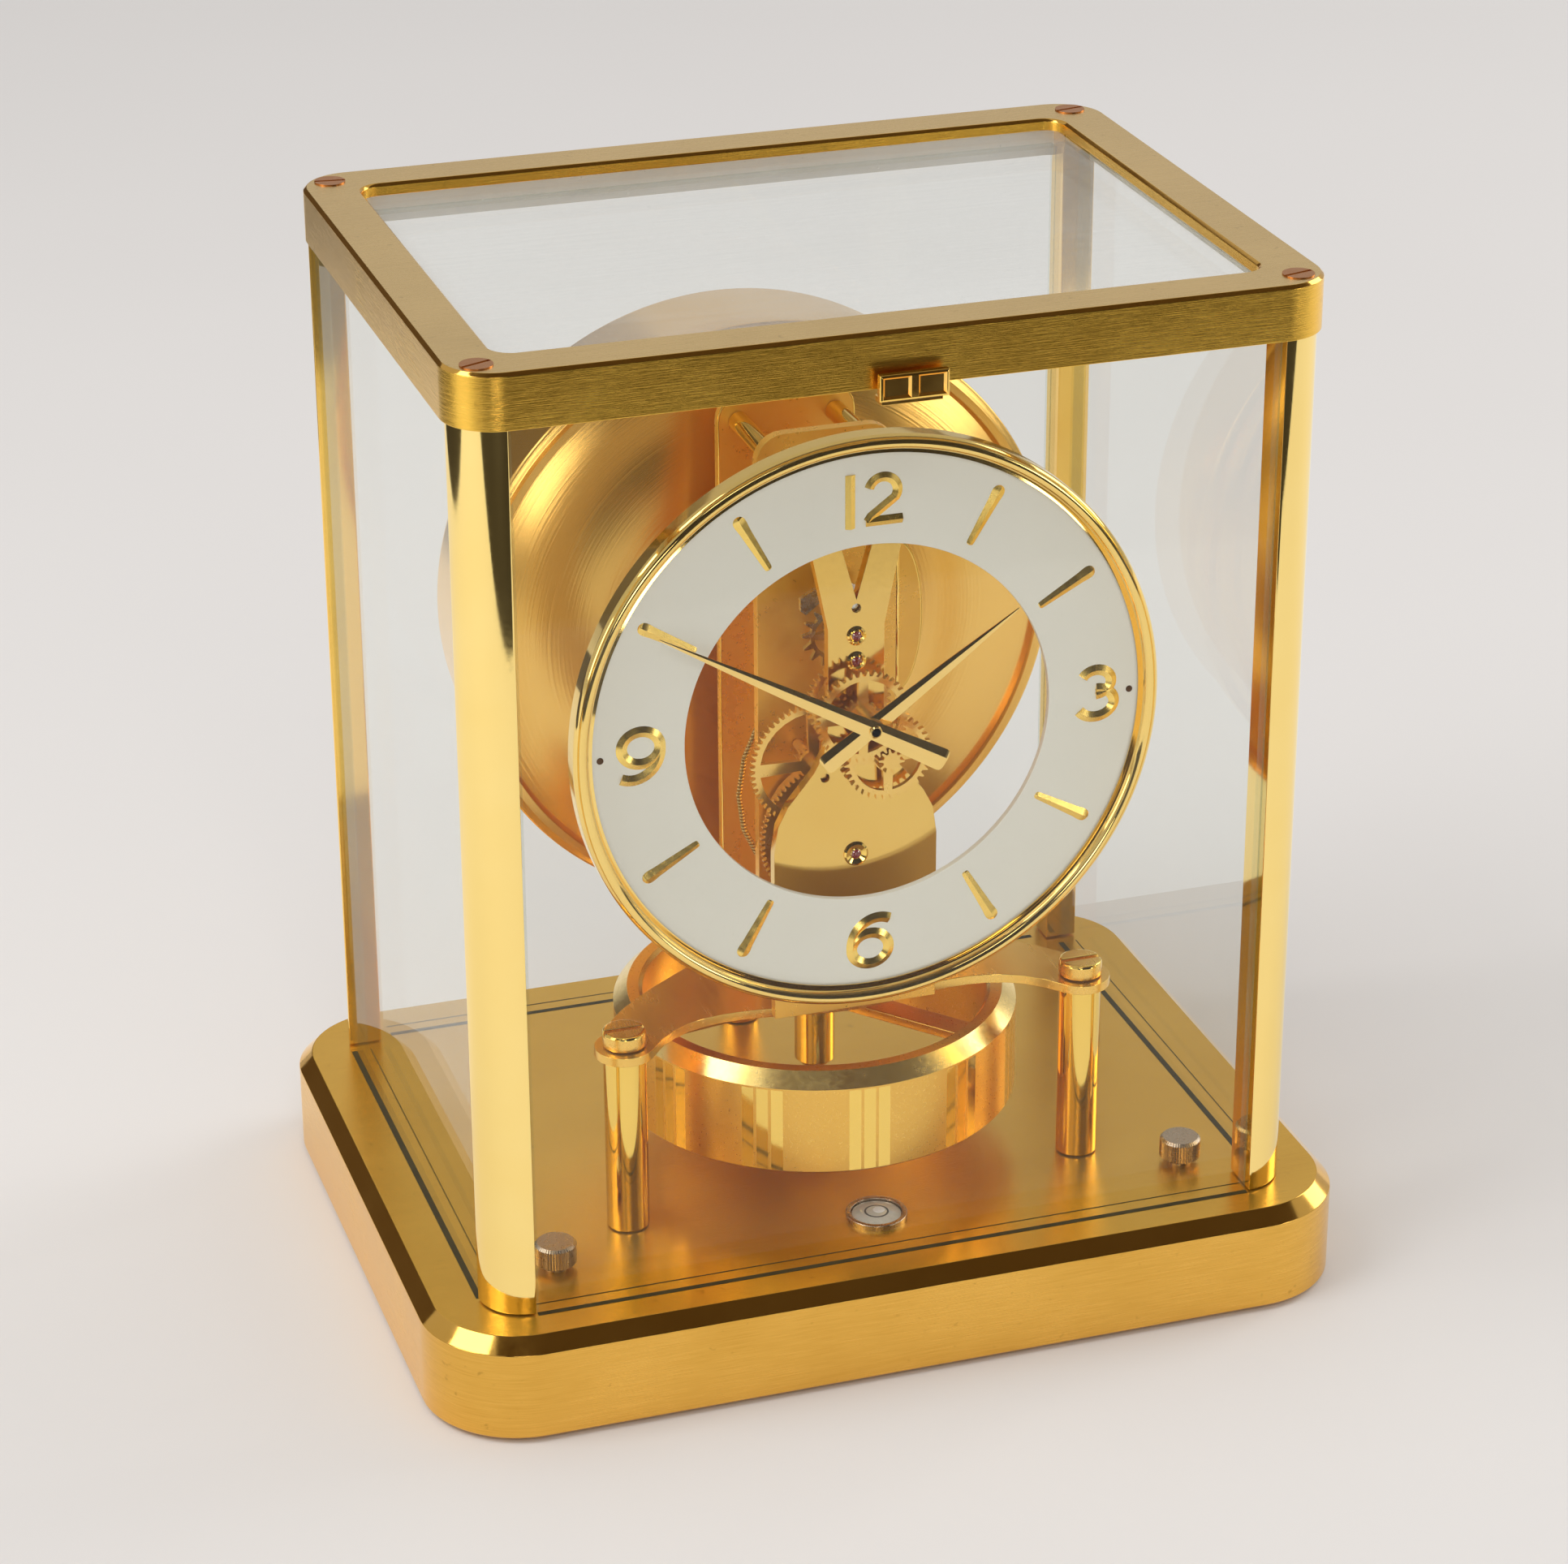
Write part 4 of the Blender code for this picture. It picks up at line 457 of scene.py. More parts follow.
# The back pillars take their own more orange, partly matt copy of the pillar brass, which the room light
# paints gold where their reflections run dark: a lit copy, painted light.
rear_brass = polished(
    "rear pillar brass painted gold", (1.0, 0.66, 0.17, 1), (0.94, 0.58, 0.12, 1), 0.08, metal=0.75,
)
slimmer = 0.0025
pillar_ease = 0.0003
pillar_steps = 32
pillar_gap = 0.0002
pillar_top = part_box("glass_top")[1].z - pillar_gap
for across in ("left", "right"):
    for along in ("front", "back"):
        node = "corner_pillar_" + along + "_" + across
        low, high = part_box(node)
        side = -1 if across == "left" else 1
        ahead = -1 if along == "front" else 1
        radius = high.x - low.x
        heart = Vector((low.x if side > 0 else high.x, low.y if ahead > 0 else high.y))
        if along == "back":
            radius -= slimmer
            heart += Vector((side, ahead)) * slimmer
        pillar = bmesh.new()
        axis = [pillar.verts.new((0, 0, low.z)), pillar.verts.new((0, 0, pillar_top))]
        rim = [pillar.verts.new((radius, 0, pillar_top)), pillar.verts.new((radius, 0, low.z))]
        wedge = pillar.faces.new(axis + rim)
        bmesh.ops.spin(
            pillar, geom=[wedge, *wedge.edges, *wedge.verts], axis=(0, 0, 1), angle=math.pi / 2,
            steps=pillar_steps,
        )
        bmesh.ops.remove_doubles(pillar, verts=pillar.verts, dist=1e-6)
        bmesh.ops.dissolve_degenerate(pillar, edges=pillar.edges, dist=1e-7)
        bmesh.ops.scale(pillar, vec=(side, ahead, 1), verts=pillar.verts)
        bmesh.ops.translate(pillar, vec=(*heart, 0), verts=pillar.verts)
        bmesh.ops.recalc_face_normals(pillar, faces=pillar.faces)
        ease(pillar, pillar_ease, angle=40)
        finish = pillar_brass if along == "front" else rear_brass
        name = "pillar_" + along + "_" + across
        make_piece(name, pillar, [finish], "case", [node])

# Roof frame
# A brushed brass frame of angle section, lined white inside, holds the roof pane. Its outer top
# edge is a narrow polished chamfer, and four slotted copper screws go down into the pillars.
low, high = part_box("top_frame")
frame_width = high.x - low.x
frame_depth = high.y - low.y
frame_corner = 0.0107
frame_edge = 0.0007
frame_band = 0.0112
opening_width = frame_width - 2 * frame_band
opening_depth = frame_depth - 2 * frame_band
opening_corner = 0.0045
skirt = 0.0017
skirt_width = frame_width - 2 * skirt
skirt_depth = frame_depth - 2 * skirt
inner_edge = 0.0006
lip_width = opening_width + 2 * inner_edge
lip_depth = opening_depth + 2 * inner_edge
roof_frame = stacked_loops([
    (frame_width, frame_depth, frame_corner, low.z),
    (frame_width, frame_depth, frame_corner, high.z - frame_edge),
    (frame_width - 2 * frame_edge, frame_depth - 2 * frame_edge, frame_corner - frame_edge, high.z),
    (lip_width, lip_depth, opening_corner + inner_edge, high.z),
    (opening_width, opening_depth, opening_corner, high.z - inner_edge),
    (opening_width, opening_depth, opening_corner, pillar_top),
    (skirt_width, skirt_depth, frame_corner - skirt, pillar_top),
    (skirt_width, skirt_depth, frame_corner - skirt, low.z),
], ring=True)
by_slope(roof_frame)
for face in roof_frame.faces:
    middle = face.calc_center_median()
    inward = face.normal.xy.dot(middle.xy) < 0 and abs(face.normal.z) < chamfer_slope
    if inward and middle.z < pillar_top:
        face.material_index = 3
ease(roof_frame, 0.00012, angle=40)
# The side and top are one brass in two copies: the top is painted paler and less orange than the side,
# painted light on the top.
frame_side = brushed(
    "brushed frame side", (1.0, 0.62, 0.11, 1), (0.80, 0.46, 0.06, 1), 0.24, side_grain,
)
frame_top = brushed(
    "brushed frame top", (0.98, 0.70, 0.30, 1), (0.78, 0.52, 0.18, 1), 0.26, top_grain,
)
lining = Finish("white lining", Roughness=0.8)
lining.clouded((0.76, 0.755, 0.73, 1), (0.84, 0.835, 0.81, 1), 200.0)
frame_finishes = [frame_side, polished_chamfer, frame_top, lining]
make_piece("roof_frame", roof_frame, frame_finishes, "case", ["top_frame"], angle=20)

copper = polished("copper screw", (0.66, 0.30, 0.11, 1), (0.48, 0.20, 0.065, 1), 0.30)
# Dark finish: on the roof screws it paints shade into the slot floors; it is also the whole head of the
# dial screws.
slot_dark = polished("screw slot", (0.16, 0.08, 0.035, 1), (0.09, 0.045, 0.02, 1), 0.4)
screw_inset = 0.0064
screw_radius = 0.0032
screw_slot = 0.0008
screw_thick = 0.0016
slot_deep = 0.0009
screw_level = high.z - screw_thick / 2 + 0.00025


def sliced(shape, place, normal, clear_inner=False):
    """Cuts a whole shape along a plane, and gives back what lies in the cut."""
    return bmesh.ops.bisect_plane(
        shape, geom=[*shape.verts, *shape.edges, *shape.faces], plane_co=place, plane_no=normal,
        clear_inner=clear_inner,
    )["geom_cut"]


def spun(shape, degrees):
    """Turns a shape about the upright axis."""
    bmesh.ops.rotate(shape, matrix=Matrix.Rotation(math.radians(degrees), 3, "Z"), verts=shape.verts)


for number, (side, ahead, turn) in enumerate([(-1, -1, 22), (1, -1, 15), (-1, 1, -8), (1, 1, 12)]):
    screw = bmesh.new()
    bmesh.ops.create_cone(
        screw, cap_ends=True, segments=48, radius1=screw_radius, radius2=screw_radius,
        depth=screw_thick,
    )
    for edge_of_slot in (-screw_slot / 2, screw_slot / 2):
        sliced(screw, (0, edge_of_slot, 0), (0, 1, 0))
    level_faces = [face for face in screw.faces if face.normal.z > level_slope]
    top = min(level_faces, key=lambda face: abs(face.calc_center_median().y))
    sunk = bmesh.ops.extrude_face_region(screw, geom=[top])["geom"]
    bmesh.ops.delete(screw, geom=[top], context="FACES_ONLY")
    bmesh.ops.translate(screw, vec=(0, 0, -slot_deep), verts=picked(sunk, bmesh.types.BMVert))
    # The slot floors take the dark finish, a painted shade in the slot.
    for face in screw.faces:
        if face.normal.z > level_slope and face.calc_center_median().z < screw_thick / 2 - 0.0001:
            face.material_index = 1
    spun(screw, turn)
    place = (side * (high.x - screw_inset), ahead * (high.y - screw_inset), screw_level)
    bmesh.ops.translate(screw, vec=place, verts=screw.verts)
    make_piece(f"roof_screw_{number + 1}", screw, [copper, slot_dark], "case")

# Panes
# Five panes of clear plate glass. The roof pane is let into its frame and has gathered dust. The
# other four have ground edges that look green, and stand in the sill grooves.
pane_edge = 0.0004


def clear_pane(name, dust, scratch, sheen, power):
    """Clear glass: a faint tint, gloss that grows towards a glancing view, and some dust."""
    made = Finish(name, Base_Color=(0.88, 0.88, 0.88, 1), Metallic=1.0, Roughness=0.015)
    clear = made.node("ShaderNodeBsdfTransparent", {}, {"Color": (0.985, 0.990, 0.984, 1)})
    glancing = made.node("ShaderNodeLayerWeight", {}, {"Blend": 0.5}, "Facing")
    gloss = 0.010 + sheen * glancing ** power
    whole = made.layered(gloss, clear, made.shine)
    haze = made.node("ShaderNodeBsdfDiffuse", {}, {"Color": (0.86, 0.87, 0.86, 1)})
    cloud = made.noise(made.coordinates(), 30.0, 4.0, 0.6)
    streak = made.noise(made.coordinates((25, 700, 25)), 1.0, 3.0, 0.6)
    specks = made.stretch(made.noise(made.coordinates(), 1500.0, 2.0), 0.70, 0.80)
    veil = made.stretch(cloud * 0.6 + streak * 0.4, 0.35, 0.75, dust * 0.4, dust) + specks * scratch
    made.set(made.output, {"Surface": made.layered(veil, whole, haze)})
    return made


def glass_edge():
    """The ground edge of a pane, which gathers the green of the glass."""
    made = Finish("ground glass edge", Roughness=0.25)
    cloud = made.noise(made.coordinates(), 90.0, 3.0)
    green = made.blend(cloud, (0.42, 0.48, 0.36, 1), (0.62, 0.66, 0.54, 1))
    made.set(made.skin, {"Base Color": green})
    clear = made.node("ShaderNodeBsdfTransparent", {}, {"Color": (0.91, 0.94, 0.90, 1)})
    made.set(made.output, {"Surface": made.layered(cloud * 0.15 + 0.06, clear, made.shine)})
    return made


roof_glass = clear_pane("roof glass", 0.20, 0.30, 0.4, 5)
wall_glass = clear_pane("wall glass", 0.006, 0.03, 0.38, 3)
ground_edge = glass_edge()


def block(low, high):
    """A plain block between two corners."""
    shape = bmesh.new()
    bmesh.ops.create_cube(shape, size=1)
    bmesh.ops.scale(shape, vec=high - low, verts=shape.verts)
    bmesh.ops.translate(shape, vec=(low + high) / 2, verts=shape.verts)
    return shape


for side in ("top", "front", "back", "left", "right"):
    body = "front_pane" if side == "front" else "case"
    low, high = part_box("glass_" + side)
    if side == "back":
        low.x -= slimmer
        high.x += slimmer
    elif side in ("left", "right"):
        high.y += slimmer
    pane = block(low, high)
    sheet_axis = min(range(3), key=lambda axis: (high - low)[axis])
    ease(pane, pane_edge, angle=40, steps=1)
    for face in pane.faces:
        if abs(face.normal[sheet_axis]) < 0.99:
            face.material_index = 1
    finish = roof_glass if side == "top" else wall_glass
    edge_finish = roof_glass if side == "top" else ground_edge
    pane_finishes = [finish, edge_finish]
    make_piece("pane_" + side, pane, pane_finishes, body, ["glass_" + side], angle=20)


# Pull on the front pane
# A small gilt block with a turned-up lip lifts the front pane. It stands clear of the roof frame,
# and a hook under it is fixed to the pane. Its edges are broken to spare the fingers.
def gilded(name, light, dark, rough, grain=(260, 260, 260), metal=1.0):
    """Gold-plated brass with the fine lines of its machining under the gilding."""
    made = Finish(name, Metallic=metal)
    lines = made.noise(made.coordinates(grain), 1.0, 3.0, 0.6)
    cloud = made.noise(made.coordinates(), 70.0, 3.0)
    made.set(made.skin, {
        "Base Color": made.blend(made.stretch(cloud * 0.6 + lines * 0.4, 0.3, 0.7), dark, light),
        "Roughness": made.stretch(lines * 0.5 + cloud * 0.5, 0.3, 0.7, rough * 0.7, rough * 1.4),
        "Normal": made.bump(lines, 0.1, 0.00002),
    })
    return made


gilt = gilded("gilt brass", (0.97, 0.60, 0.16, 1), (0.91, 0.50, 0.10, 1), 0.14)
post_gilt = polished("polished gilt", (1.0, 0.70, 0.19, 1), (0.95, 0.62, 0.13, 1), 0.06)


def eased_copy(node, width):
    """A node's own shape, with its facets joined up and its sharp edges broken."""
    shape = bmesh.new()
    shape.from_mesh(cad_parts[node].data)
    bmesh.ops.remove_doubles(shape, verts=shape.verts, dist=2e-6)
    bmesh.ops.dissolve_limit(shape, angle_limit=math.radians(1), verts=shape.verts, edges=shape.edges)
    for face in ease(shape, width, angle=38):
        face.material_index = 1
    return shape


def eased_piece(name, node, width, finishes, body):
    """A piece in its node's own shape, with nothing changed but its edges and finish."""
    make_piece(name, eased_copy(node, width), finishes, body, [node])


pull = eased_copy("glass_pull", 0.0002)
low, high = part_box("glass_pull")
roof_face, roof_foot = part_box("top_frame")[0].yz
pane_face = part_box("glass_front")[0].y
pane_lift = 0.0015
pull_gap = 0.00015
hook_top = roof_foot - pane_lift - pull_gap
hook_join = 0.0001
thinner = (roof_face - pull_gap - low.y) / (high.y - low.y)
shorter = (high.z - hook_top + hook_join) / (high.z - low.z)
from_front_top = Matrix.Translation((0, -low.y, -high.z))
bmesh.ops.scale(pull, vec=(1, thinner, shorter), space=from_front_top, verts=pull.verts)
front = min(pull.faces, key=lambda face: face.calc_center_median().y - face.calc_area() * 10)
parts = [front]
bar_half = 0.0007
window_rim = 0.0007
window_deep = 0.0006
for across in (-bar_half, bar_half):
    geometry = dict.fromkeys(item for face in parts for item in (face, *face.edges, *face.verts))
    bmesh.ops.bisect_plane(pull, geom=list(geometry), plane_co=(across, 0, 0), plane_no=(1, 0, 0))
    reach = min(vert.co.y for vert in pull.verts) + 0.0003
    parts = [f for f in pull.faces if f.normal.y < -0.99 and f.calc_center_median().y < reach]
lugs = [face for face in parts if abs(face.calc_center_median().x) > bar_half]
bmesh.ops.inset_individual(pull, faces=lugs, thickness=window_rim, depth=-window_deep)
make_piece("pull", pull, [gilt, post_gilt], "front_pane", ["glass_pull"])
hook_inset = 0.0008
hook_front = Vector((low.x + hook_inset, low.y + 2 * hook_inset, low.z))
hook_back = Vector((high.x - hook_inset, pane_face, hook_top))
hook = block(hook_front, hook_back)
ease(hook, 0.0001, angle=40)
make_piece("pull_hook", hook, [gilt], "front_pane")


# Levelling screws and feet
# Two knurled steel knobs stand on the deck. Each turns a screw that raises or lowers a steel
# foot under a front corner. The third foot, at the back, is fixed.
def turned(profile, steps, closed=False):
    """A lathe-turned shape about the upright axis, from (radius, height) points."""
    shape = bmesh.new()
    points = [shape.verts.new((radius, 0, height)) for radius, height in profile]
    lines = [shape.edges.new(pair) for pair in zip(points, points[1:])]
    if closed:
        lines.append(shape.edges.new((points[-1], points[0])))
    bmesh.ops.spin(shape, geom=points + lines, axis=(0, 0, 1), angle=math.tau, steps=steps, use_merge=True)
    bmesh.ops.remove_doubles(shape, verts=shape.verts, dist=1e-7)
    bmesh.ops.recalc_face_normals(shape, faces=shape.faces)
    return shape


# The steel is tinted warm brown: a painted reflection of the brass round it.
steel = polished("turned steel", (0.66, 0.52, 0.38, 1), (0.48, 0.36, 0.25, 1), 0.24)
knob_radius = 0.0043
knob_foot = deck + 0.0011
knurls = 48
knurl_share = 0.02
foot_break = 0.0003
for side in ("left", "right"):
    node = "levelling_screw_" + side
    eased_piece("screw_shank_" + side, node, 0.00012, [steel], "screw_" + side)
    low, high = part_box(node)
    crown = high.z + 0.0001
    knob = turned([
        (0, knob_foot), (knob_radius * 0.86, knob_foot), (knob_radius, knob_foot + 0.0005),
        (knob_radius, crown - 0.0006), (knob_radius * 0.88, crown), (0, crown),
    ], knurls * 4)
    for vert in knob.verts:
        if vert.co.xy.length > knob_radius * 0.95:
            vert.co.xy *= 1 + knurl_share * math.cos(math.atan2(vert.co.y, vert.co.x) * knurls)
    bmesh.ops.translate(knob, vec=((low.x + high.x) / 2, (low.y + high.y) / 2, 0), verts=knob.verts)
    make_piece("knob_" + side, knob, [steel], "screw_" + side)
    node = "levelling_foot_" + side
    eased_piece("foot_" + side, node, foot_break, [steel], "foot_" + side)
eased_piece("foot_rear", "rear_foot", foot_break, [steel], "case")

# Spirit level
# A round level is sunk in the deck near the front edge: a steel cup, a domed glass, and a
# bubble in pale spirit with one black ring printed under the glass.
low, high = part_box("level_cup")
level_place = Vector(((low.x + high.x) / 2, (low.y + high.y) / 2, 0))
level_growth = 1.14
level_radius = (high.x - low.x) / 2 * level_growth
level_rim = 0.0011
level_floor = low.z + 0.0008
cup = turned([
    (0, low.z),
    (level_radius, low.z),
    (level_radius, high.z),
    (level_radius - level_rim, high.z),
    (level_radius - level_rim, level_floor),
    (0, level_floor),
], 64)
ease(cup, 0.00025, angle=40, steps=3)
bmesh.ops.translate(cup, vec=level_place, verts=cup.verts)
make_piece("level_cup_turned", cup, [steel], "case", ["level_cup"])
spirit = Finish("pale spirit", Roughness=0.12, Coat_Weight=0.8, Coat_Roughness=0.03)
spirit.clouded((0.56, 0.55, 0.47, 1), (0.70, 0.69, 0.60, 1), 900.0)
ring_ink = Finish("level ring ink", Roughness=0.4)
ring_ink.clouded((0.05, 0.05, 0.05, 1), (0.12, 0.12, 0.11, 1), 1200.0)
bubble = Finish("level bubble", Roughness=0.05)
bubble.clouded((0.82, 0.82, 0.78, 1), (0.95, 0.95, 0.92, 1), 700.0)
low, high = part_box("level_glass")
window = level_radius - level_rim - 0.0002
ring_in = 0.42
ring_out = 0.50
vial = turned([
    (0, low.z),
    (window, low.z),
    (window, high.z - 0.0006),
    (window * 0.72, high.z - 0.00025),
    (window * ring_out, high.z - 0.0001),
    (window * ring_in, high.z - 0.00007),
    (0, high.z - 0.00002),
], 64)
for face in vial.faces:
    reach = face.calc_center_median().xy.length / window
    if face.normal.z > 0.3 and ring_in < reach < ring_out:
        face.material_index = 1
bmesh.ops.translate(vial, vec=level_place, verts=vial.verts)
make_piece("level_vial", vial, [spirit, ring_ink], "case", ["level_glass"])
drop = bmesh.new()
drop_radius = 0.0013
drop_height = 0.12
drop_place = level_place + Vector((0.0006, 0.0003, high.z))
bmesh.ops.create_uvsphere(drop, u_segments=32, v_segments=16, radius=drop_radius)
bmesh.ops.scale(drop, vec=(1, 1, drop_height), verts=drop.verts)
bmesh.ops.translate(drop, vec=drop_place, verts=drop.verts)
make_piece("level_bubble", drop, [bubble], "case")

# Bridge
# A gilt plate in the shape of a bow carries the movement. Two turned posts hold its ears with
# slotted screws, and a third post holds its tail from underneath.
bridge_gilt = gilded(
    "satin gilt plate", (1.0, 0.64, 0.17, 1), (0.93, 0.55, 0.12, 1), 0.24, (900, 60, 900), 0.85,
)
bridge_under = 0.0630
bridge_thinned = 0.0010
bridge_break = 0.0003


def raised(shape, level):
    """Lifts the points near a level, which thins the bridge and lengthens its front posts."""
    for vert in shape.verts:
        if abs(vert.co.z - level) < 0.0005:
            vert.co.z += bridge_thinned
    return shape


bridge = raised(eased_copy("bridge_plate", bridge_break), bridge_under)
make_piece("bridge", bridge, [bridge_gilt, post_gilt], "case", ["bridge_plate"])
for node in ("bridge_pillar_left", "bridge_pillar_right"):
    post = raised(eased_copy(node, bridge_break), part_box(node)[1].z)
    make_piece(node.replace("pillar", "post"), post, [post_gilt], "case", [node])
eased_piece("bridge_post_rear", "bridge_pillar_rear", bridge_break, [post_gilt], "case")
bridge_finishes = [bridge_gilt, post_gilt]
for node in ("bridge_screw_left", "bridge_screw_right"):
    bolt = node.replace("screw", "bolt")
    eased_piece(bolt, node, bridge_break, bridge_finishes, "case")

# Balance
# The heavy rim is turned from brass and gilded satin, with a brighter bevel round its top and
# twelve groups of three polished flats. Three spokes join it to a hub tube and its staff.
low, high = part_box("balance")
balance_place = Vector((0, (low.y + high.y) / 2, 0))
rim_out = 0.0433
rim_in = rim_out - 0.0063
rim_low = 0.0364
rim_high = rim_low + 0.0226
rim_bevel = 0.0030
rim_break = 0.0004
inner_bevel = 0.0008
groups = 12
steps_in_group = 36
flat_steps = 4
flat_pitch = 5
flats = 3
rim_steps = groups * steps_in_group
step_angle = math.tau / rim_steps
rim = turned([
    (rim_in, rim_low),
    (rim_out - rim_break, rim_low),
    (rim_out, rim_low + rim_break),
    (rim_out, rim_high - rim_bevel - rim_break),
    (rim_out, rim_high - rim_bevel),
    (rim_out - rim_bevel, rim_high),
    (rim_in + inner_bevel, rim_high),
    (rim_in, rim_high - inner_bevel),
], rim_steps, True)
for vert in rim.verts:
    if vert.co.xy.length < rim_out - 1e-5 or vert.co.z > rim_high - rim_bevel - 0.0002:
        continue
    step = round(math.atan2(vert.co.y, vert.co.x) / step_angle) % steps_in_group
    flat, part = divmod(step, flat_pitch)
    if flat < flats and part <= flat_steps:
        half = flat_steps / 2 * step_angle
        off = (part - flat_steps / 2) * step_angle
        shrink = math.cos(half) / math.cos(off)
        vert.co.x *= shrink
        vert.co.y *= shrink
for face in rim.faces:
    middle = face.calc_center_median()
    outward = abs(face.normal.z) < 0.1 and middle.xy.length > rim_out - 0.001
    step = math.atan2(middle.y, middle.x) / step_angle % steps_in_group
    flat, part = divmod(step, flat_pitch)
    if outward and middle.z < rim_high - rim_bevel - 0.0003 and flat < flats and part < flat_steps:
        face.material_index = 1
    if 0.3 < face.normal.z < 0.95:
        face.material_index = 2
middle_flat = math.degrees((flat_pitch + flat_steps / 2) * step_angle)
spun(rim, -93 - middle_flat)
bmesh.ops.translate(rim, vec=balance_place, verts=rim.verts)
balance_gilt = Finish("satin gilt rim", Metallic=1.0)
rim_speckle = balance_gilt.noise(balance_gilt.coordinates(), 1800.0, 2.0, 0.6)
rim_cloud = balance_gilt.noise(balance_gilt.coordinates(), 60.0, 3.0)
balance_gilt.set(balance_gilt.skin, {
    "Base Color": balance_gilt.blend(rim_cloud, (0.86, 0.49, 0.095, 1), (0.94, 0.57, 0.13, 1)),
    "Roughness": balance_gilt.stretch(rim_speckle, 0.3, 0.7, 0.26, 0.38),
    "Normal": balance_gilt.bump(rim_speckle, 0.25, 0.00003),
})
bevel_gilt = polished("satin gilt bevel", (1.0, 0.74, 0.28, 1), (0.95, 0.65, 0.20, 1), 0.20, 0.000006)
rim_finishes = [balance_gilt, post_gilt, bevel_gilt]
make_piece("balance_rim", rim, rim_finishes, "balance_wheel", ["balance"], angle=1.2)

hub = turned([
    (0, 0.0399), (0.0031, 0.0399), (0.0043, 0.0411), (0.0043, 0.0672), (0.0024, 0.0672),
    (0.0024, high.z - 0.0002), (0.0022, high.z), (0, high.z),
], 48)
bmesh.ops.translate(hub, vec=balance_place, verts=hub.verts)
make_piece("balance_hub", hub, [post_gilt], "balance_wheel", ())
spoke_width = 0.0060
spoke_low = 0.0558
spoke_high = 0.0580
for number, angle in enumerate((-50, 70, 190)):
    spoke_start = Vector((0.0040, -spoke_width / 2, spoke_low))
    spoke_end = Vector((rim_in + 0.0004, spoke_width / 2, spoke_high))
    spoke = block(spoke_start, spoke_end)
    ease(spoke, 0.0004, angle=40)
    spun(spoke, angle)
    bmesh.ops.translate(spoke, vec=balance_place, verts=spoke.verts)
    make_piece(f"balance_spoke_{number + 1}", spoke, [balance_gilt], "balance_wheel", ())

# Movement plates
# The front plate is cut to a bell with a fork at its top and polished like a mirror. The back
# plate and the rear frame are gilt. Turned pillars and studs hold the three apart.
plate_brass = polished("mirror brass plate", (0.84, 0.56, 0.165, 1), (0.78, 0.48, 0.12, 1), 0.10)
copper_gilt = gilded(
    "red gilt plate", (1.0, 0.56, 0.10, 1), (0.94, 0.49, 0.07, 1), 0.30, (700, 700, 700), 0.6,
)
plate = eased_copy("front_plate", 0.0003)
# Below this height the plate's foot takes the red satin gilt: a painted shadow of the dial, darker than the
# mirror brass above.
plate_foot = 0.078
sliced(plate, (0, 0, plate_foot), (0, 0, 1))
for face in plate.faces:
    face.material_index = 1 if face.calc_center_median().z < plate_foot else 0
make_piece("plate_front", plate, [plate_brass, copper_gilt], "case", ["front_plate"])
plate_finishes = [copper_gilt, post_gilt]
eased_piece("plate_back", "back_plate", 0.0004, plate_finishes, "case")
eased_piece("frame_rear", "rear_frame", 0.0004, plate_finishes, "case")
for height in ("low", "high"):
    for side in ("left", "right"):
        for kind in ("plate_pillar", "frame_stud", "dial_post"):
            node = f"{kind}_{height}_{side}"
            eased_piece(node + "_turned", node, 0.00015, [post_gilt], "case")
low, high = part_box("back_plate")
ear_low = 0.1280
ear_high = 0.1625
ear_reach = 0.0060
ear_thick = 0.0020
ear_steps = 24
ear = bmesh.new()
rim_of_ear = []
for step in range(ear_steps + 1):
    turn = math.pi * (step / ear_steps - 0.5)
    level = (ear_low + ear_high) / 2 + (ear_high - ear_low) / 2 * math.sin(turn)
    rim_of_ear.append(ear.verts.new((high.x + ear_reach * math.cos(turn), low.y, level)))
sheet = bmesh.ops.extrude_face_region(ear, geom=[ear.faces.new(rim_of_ear)])["geom"]
bmesh.ops.translate(ear, vec=(0, ear_thick, 0), verts=picked(sheet, bmesh.types.BMVert))
bmesh.ops.recalc_face_normals(ear, faces=ear.faces)
for face in ease(ear, 0.0008, angle=40):
    face.material_index = 1
make_piece("plate_ear", ear, plate_finishes, "case")
eased_piece("suspension", "suspension_block", 0.0005, [gilt], "case")
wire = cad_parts["torsion_wire"]
wire.material_slots[0].material = steel.material

# Jewels
# Four ruby bearings, ground hollow to hold oil, are pressed into the front plate.
# Each sits in a polished gilt setting, turned with a bevelled edge.
plate_face = -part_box("front_plate")[0].y
ruby = Finish(
    "ruby jewel", Roughness=0.08, Coat_Weight=1.0, Coat_Roughness=0.02, Specular_IOR_Level=0.9,
)
ruby.clouded((0.16, 0.008, 0.012, 1), (0.36, 0.03, 0.035, 1), 1500.0)


def face_forward(shape, x, z):
    """Turns an upright turned shape so that its height runs forward, and puts it in place."""
    bmesh.ops.rotate(shape, matrix=Matrix.Rotation(math.radians(90), 3, "X"), verts=shape.verts)
    bmesh.ops.translate(shape, vec=(x, 0, z), verts=shape.verts)


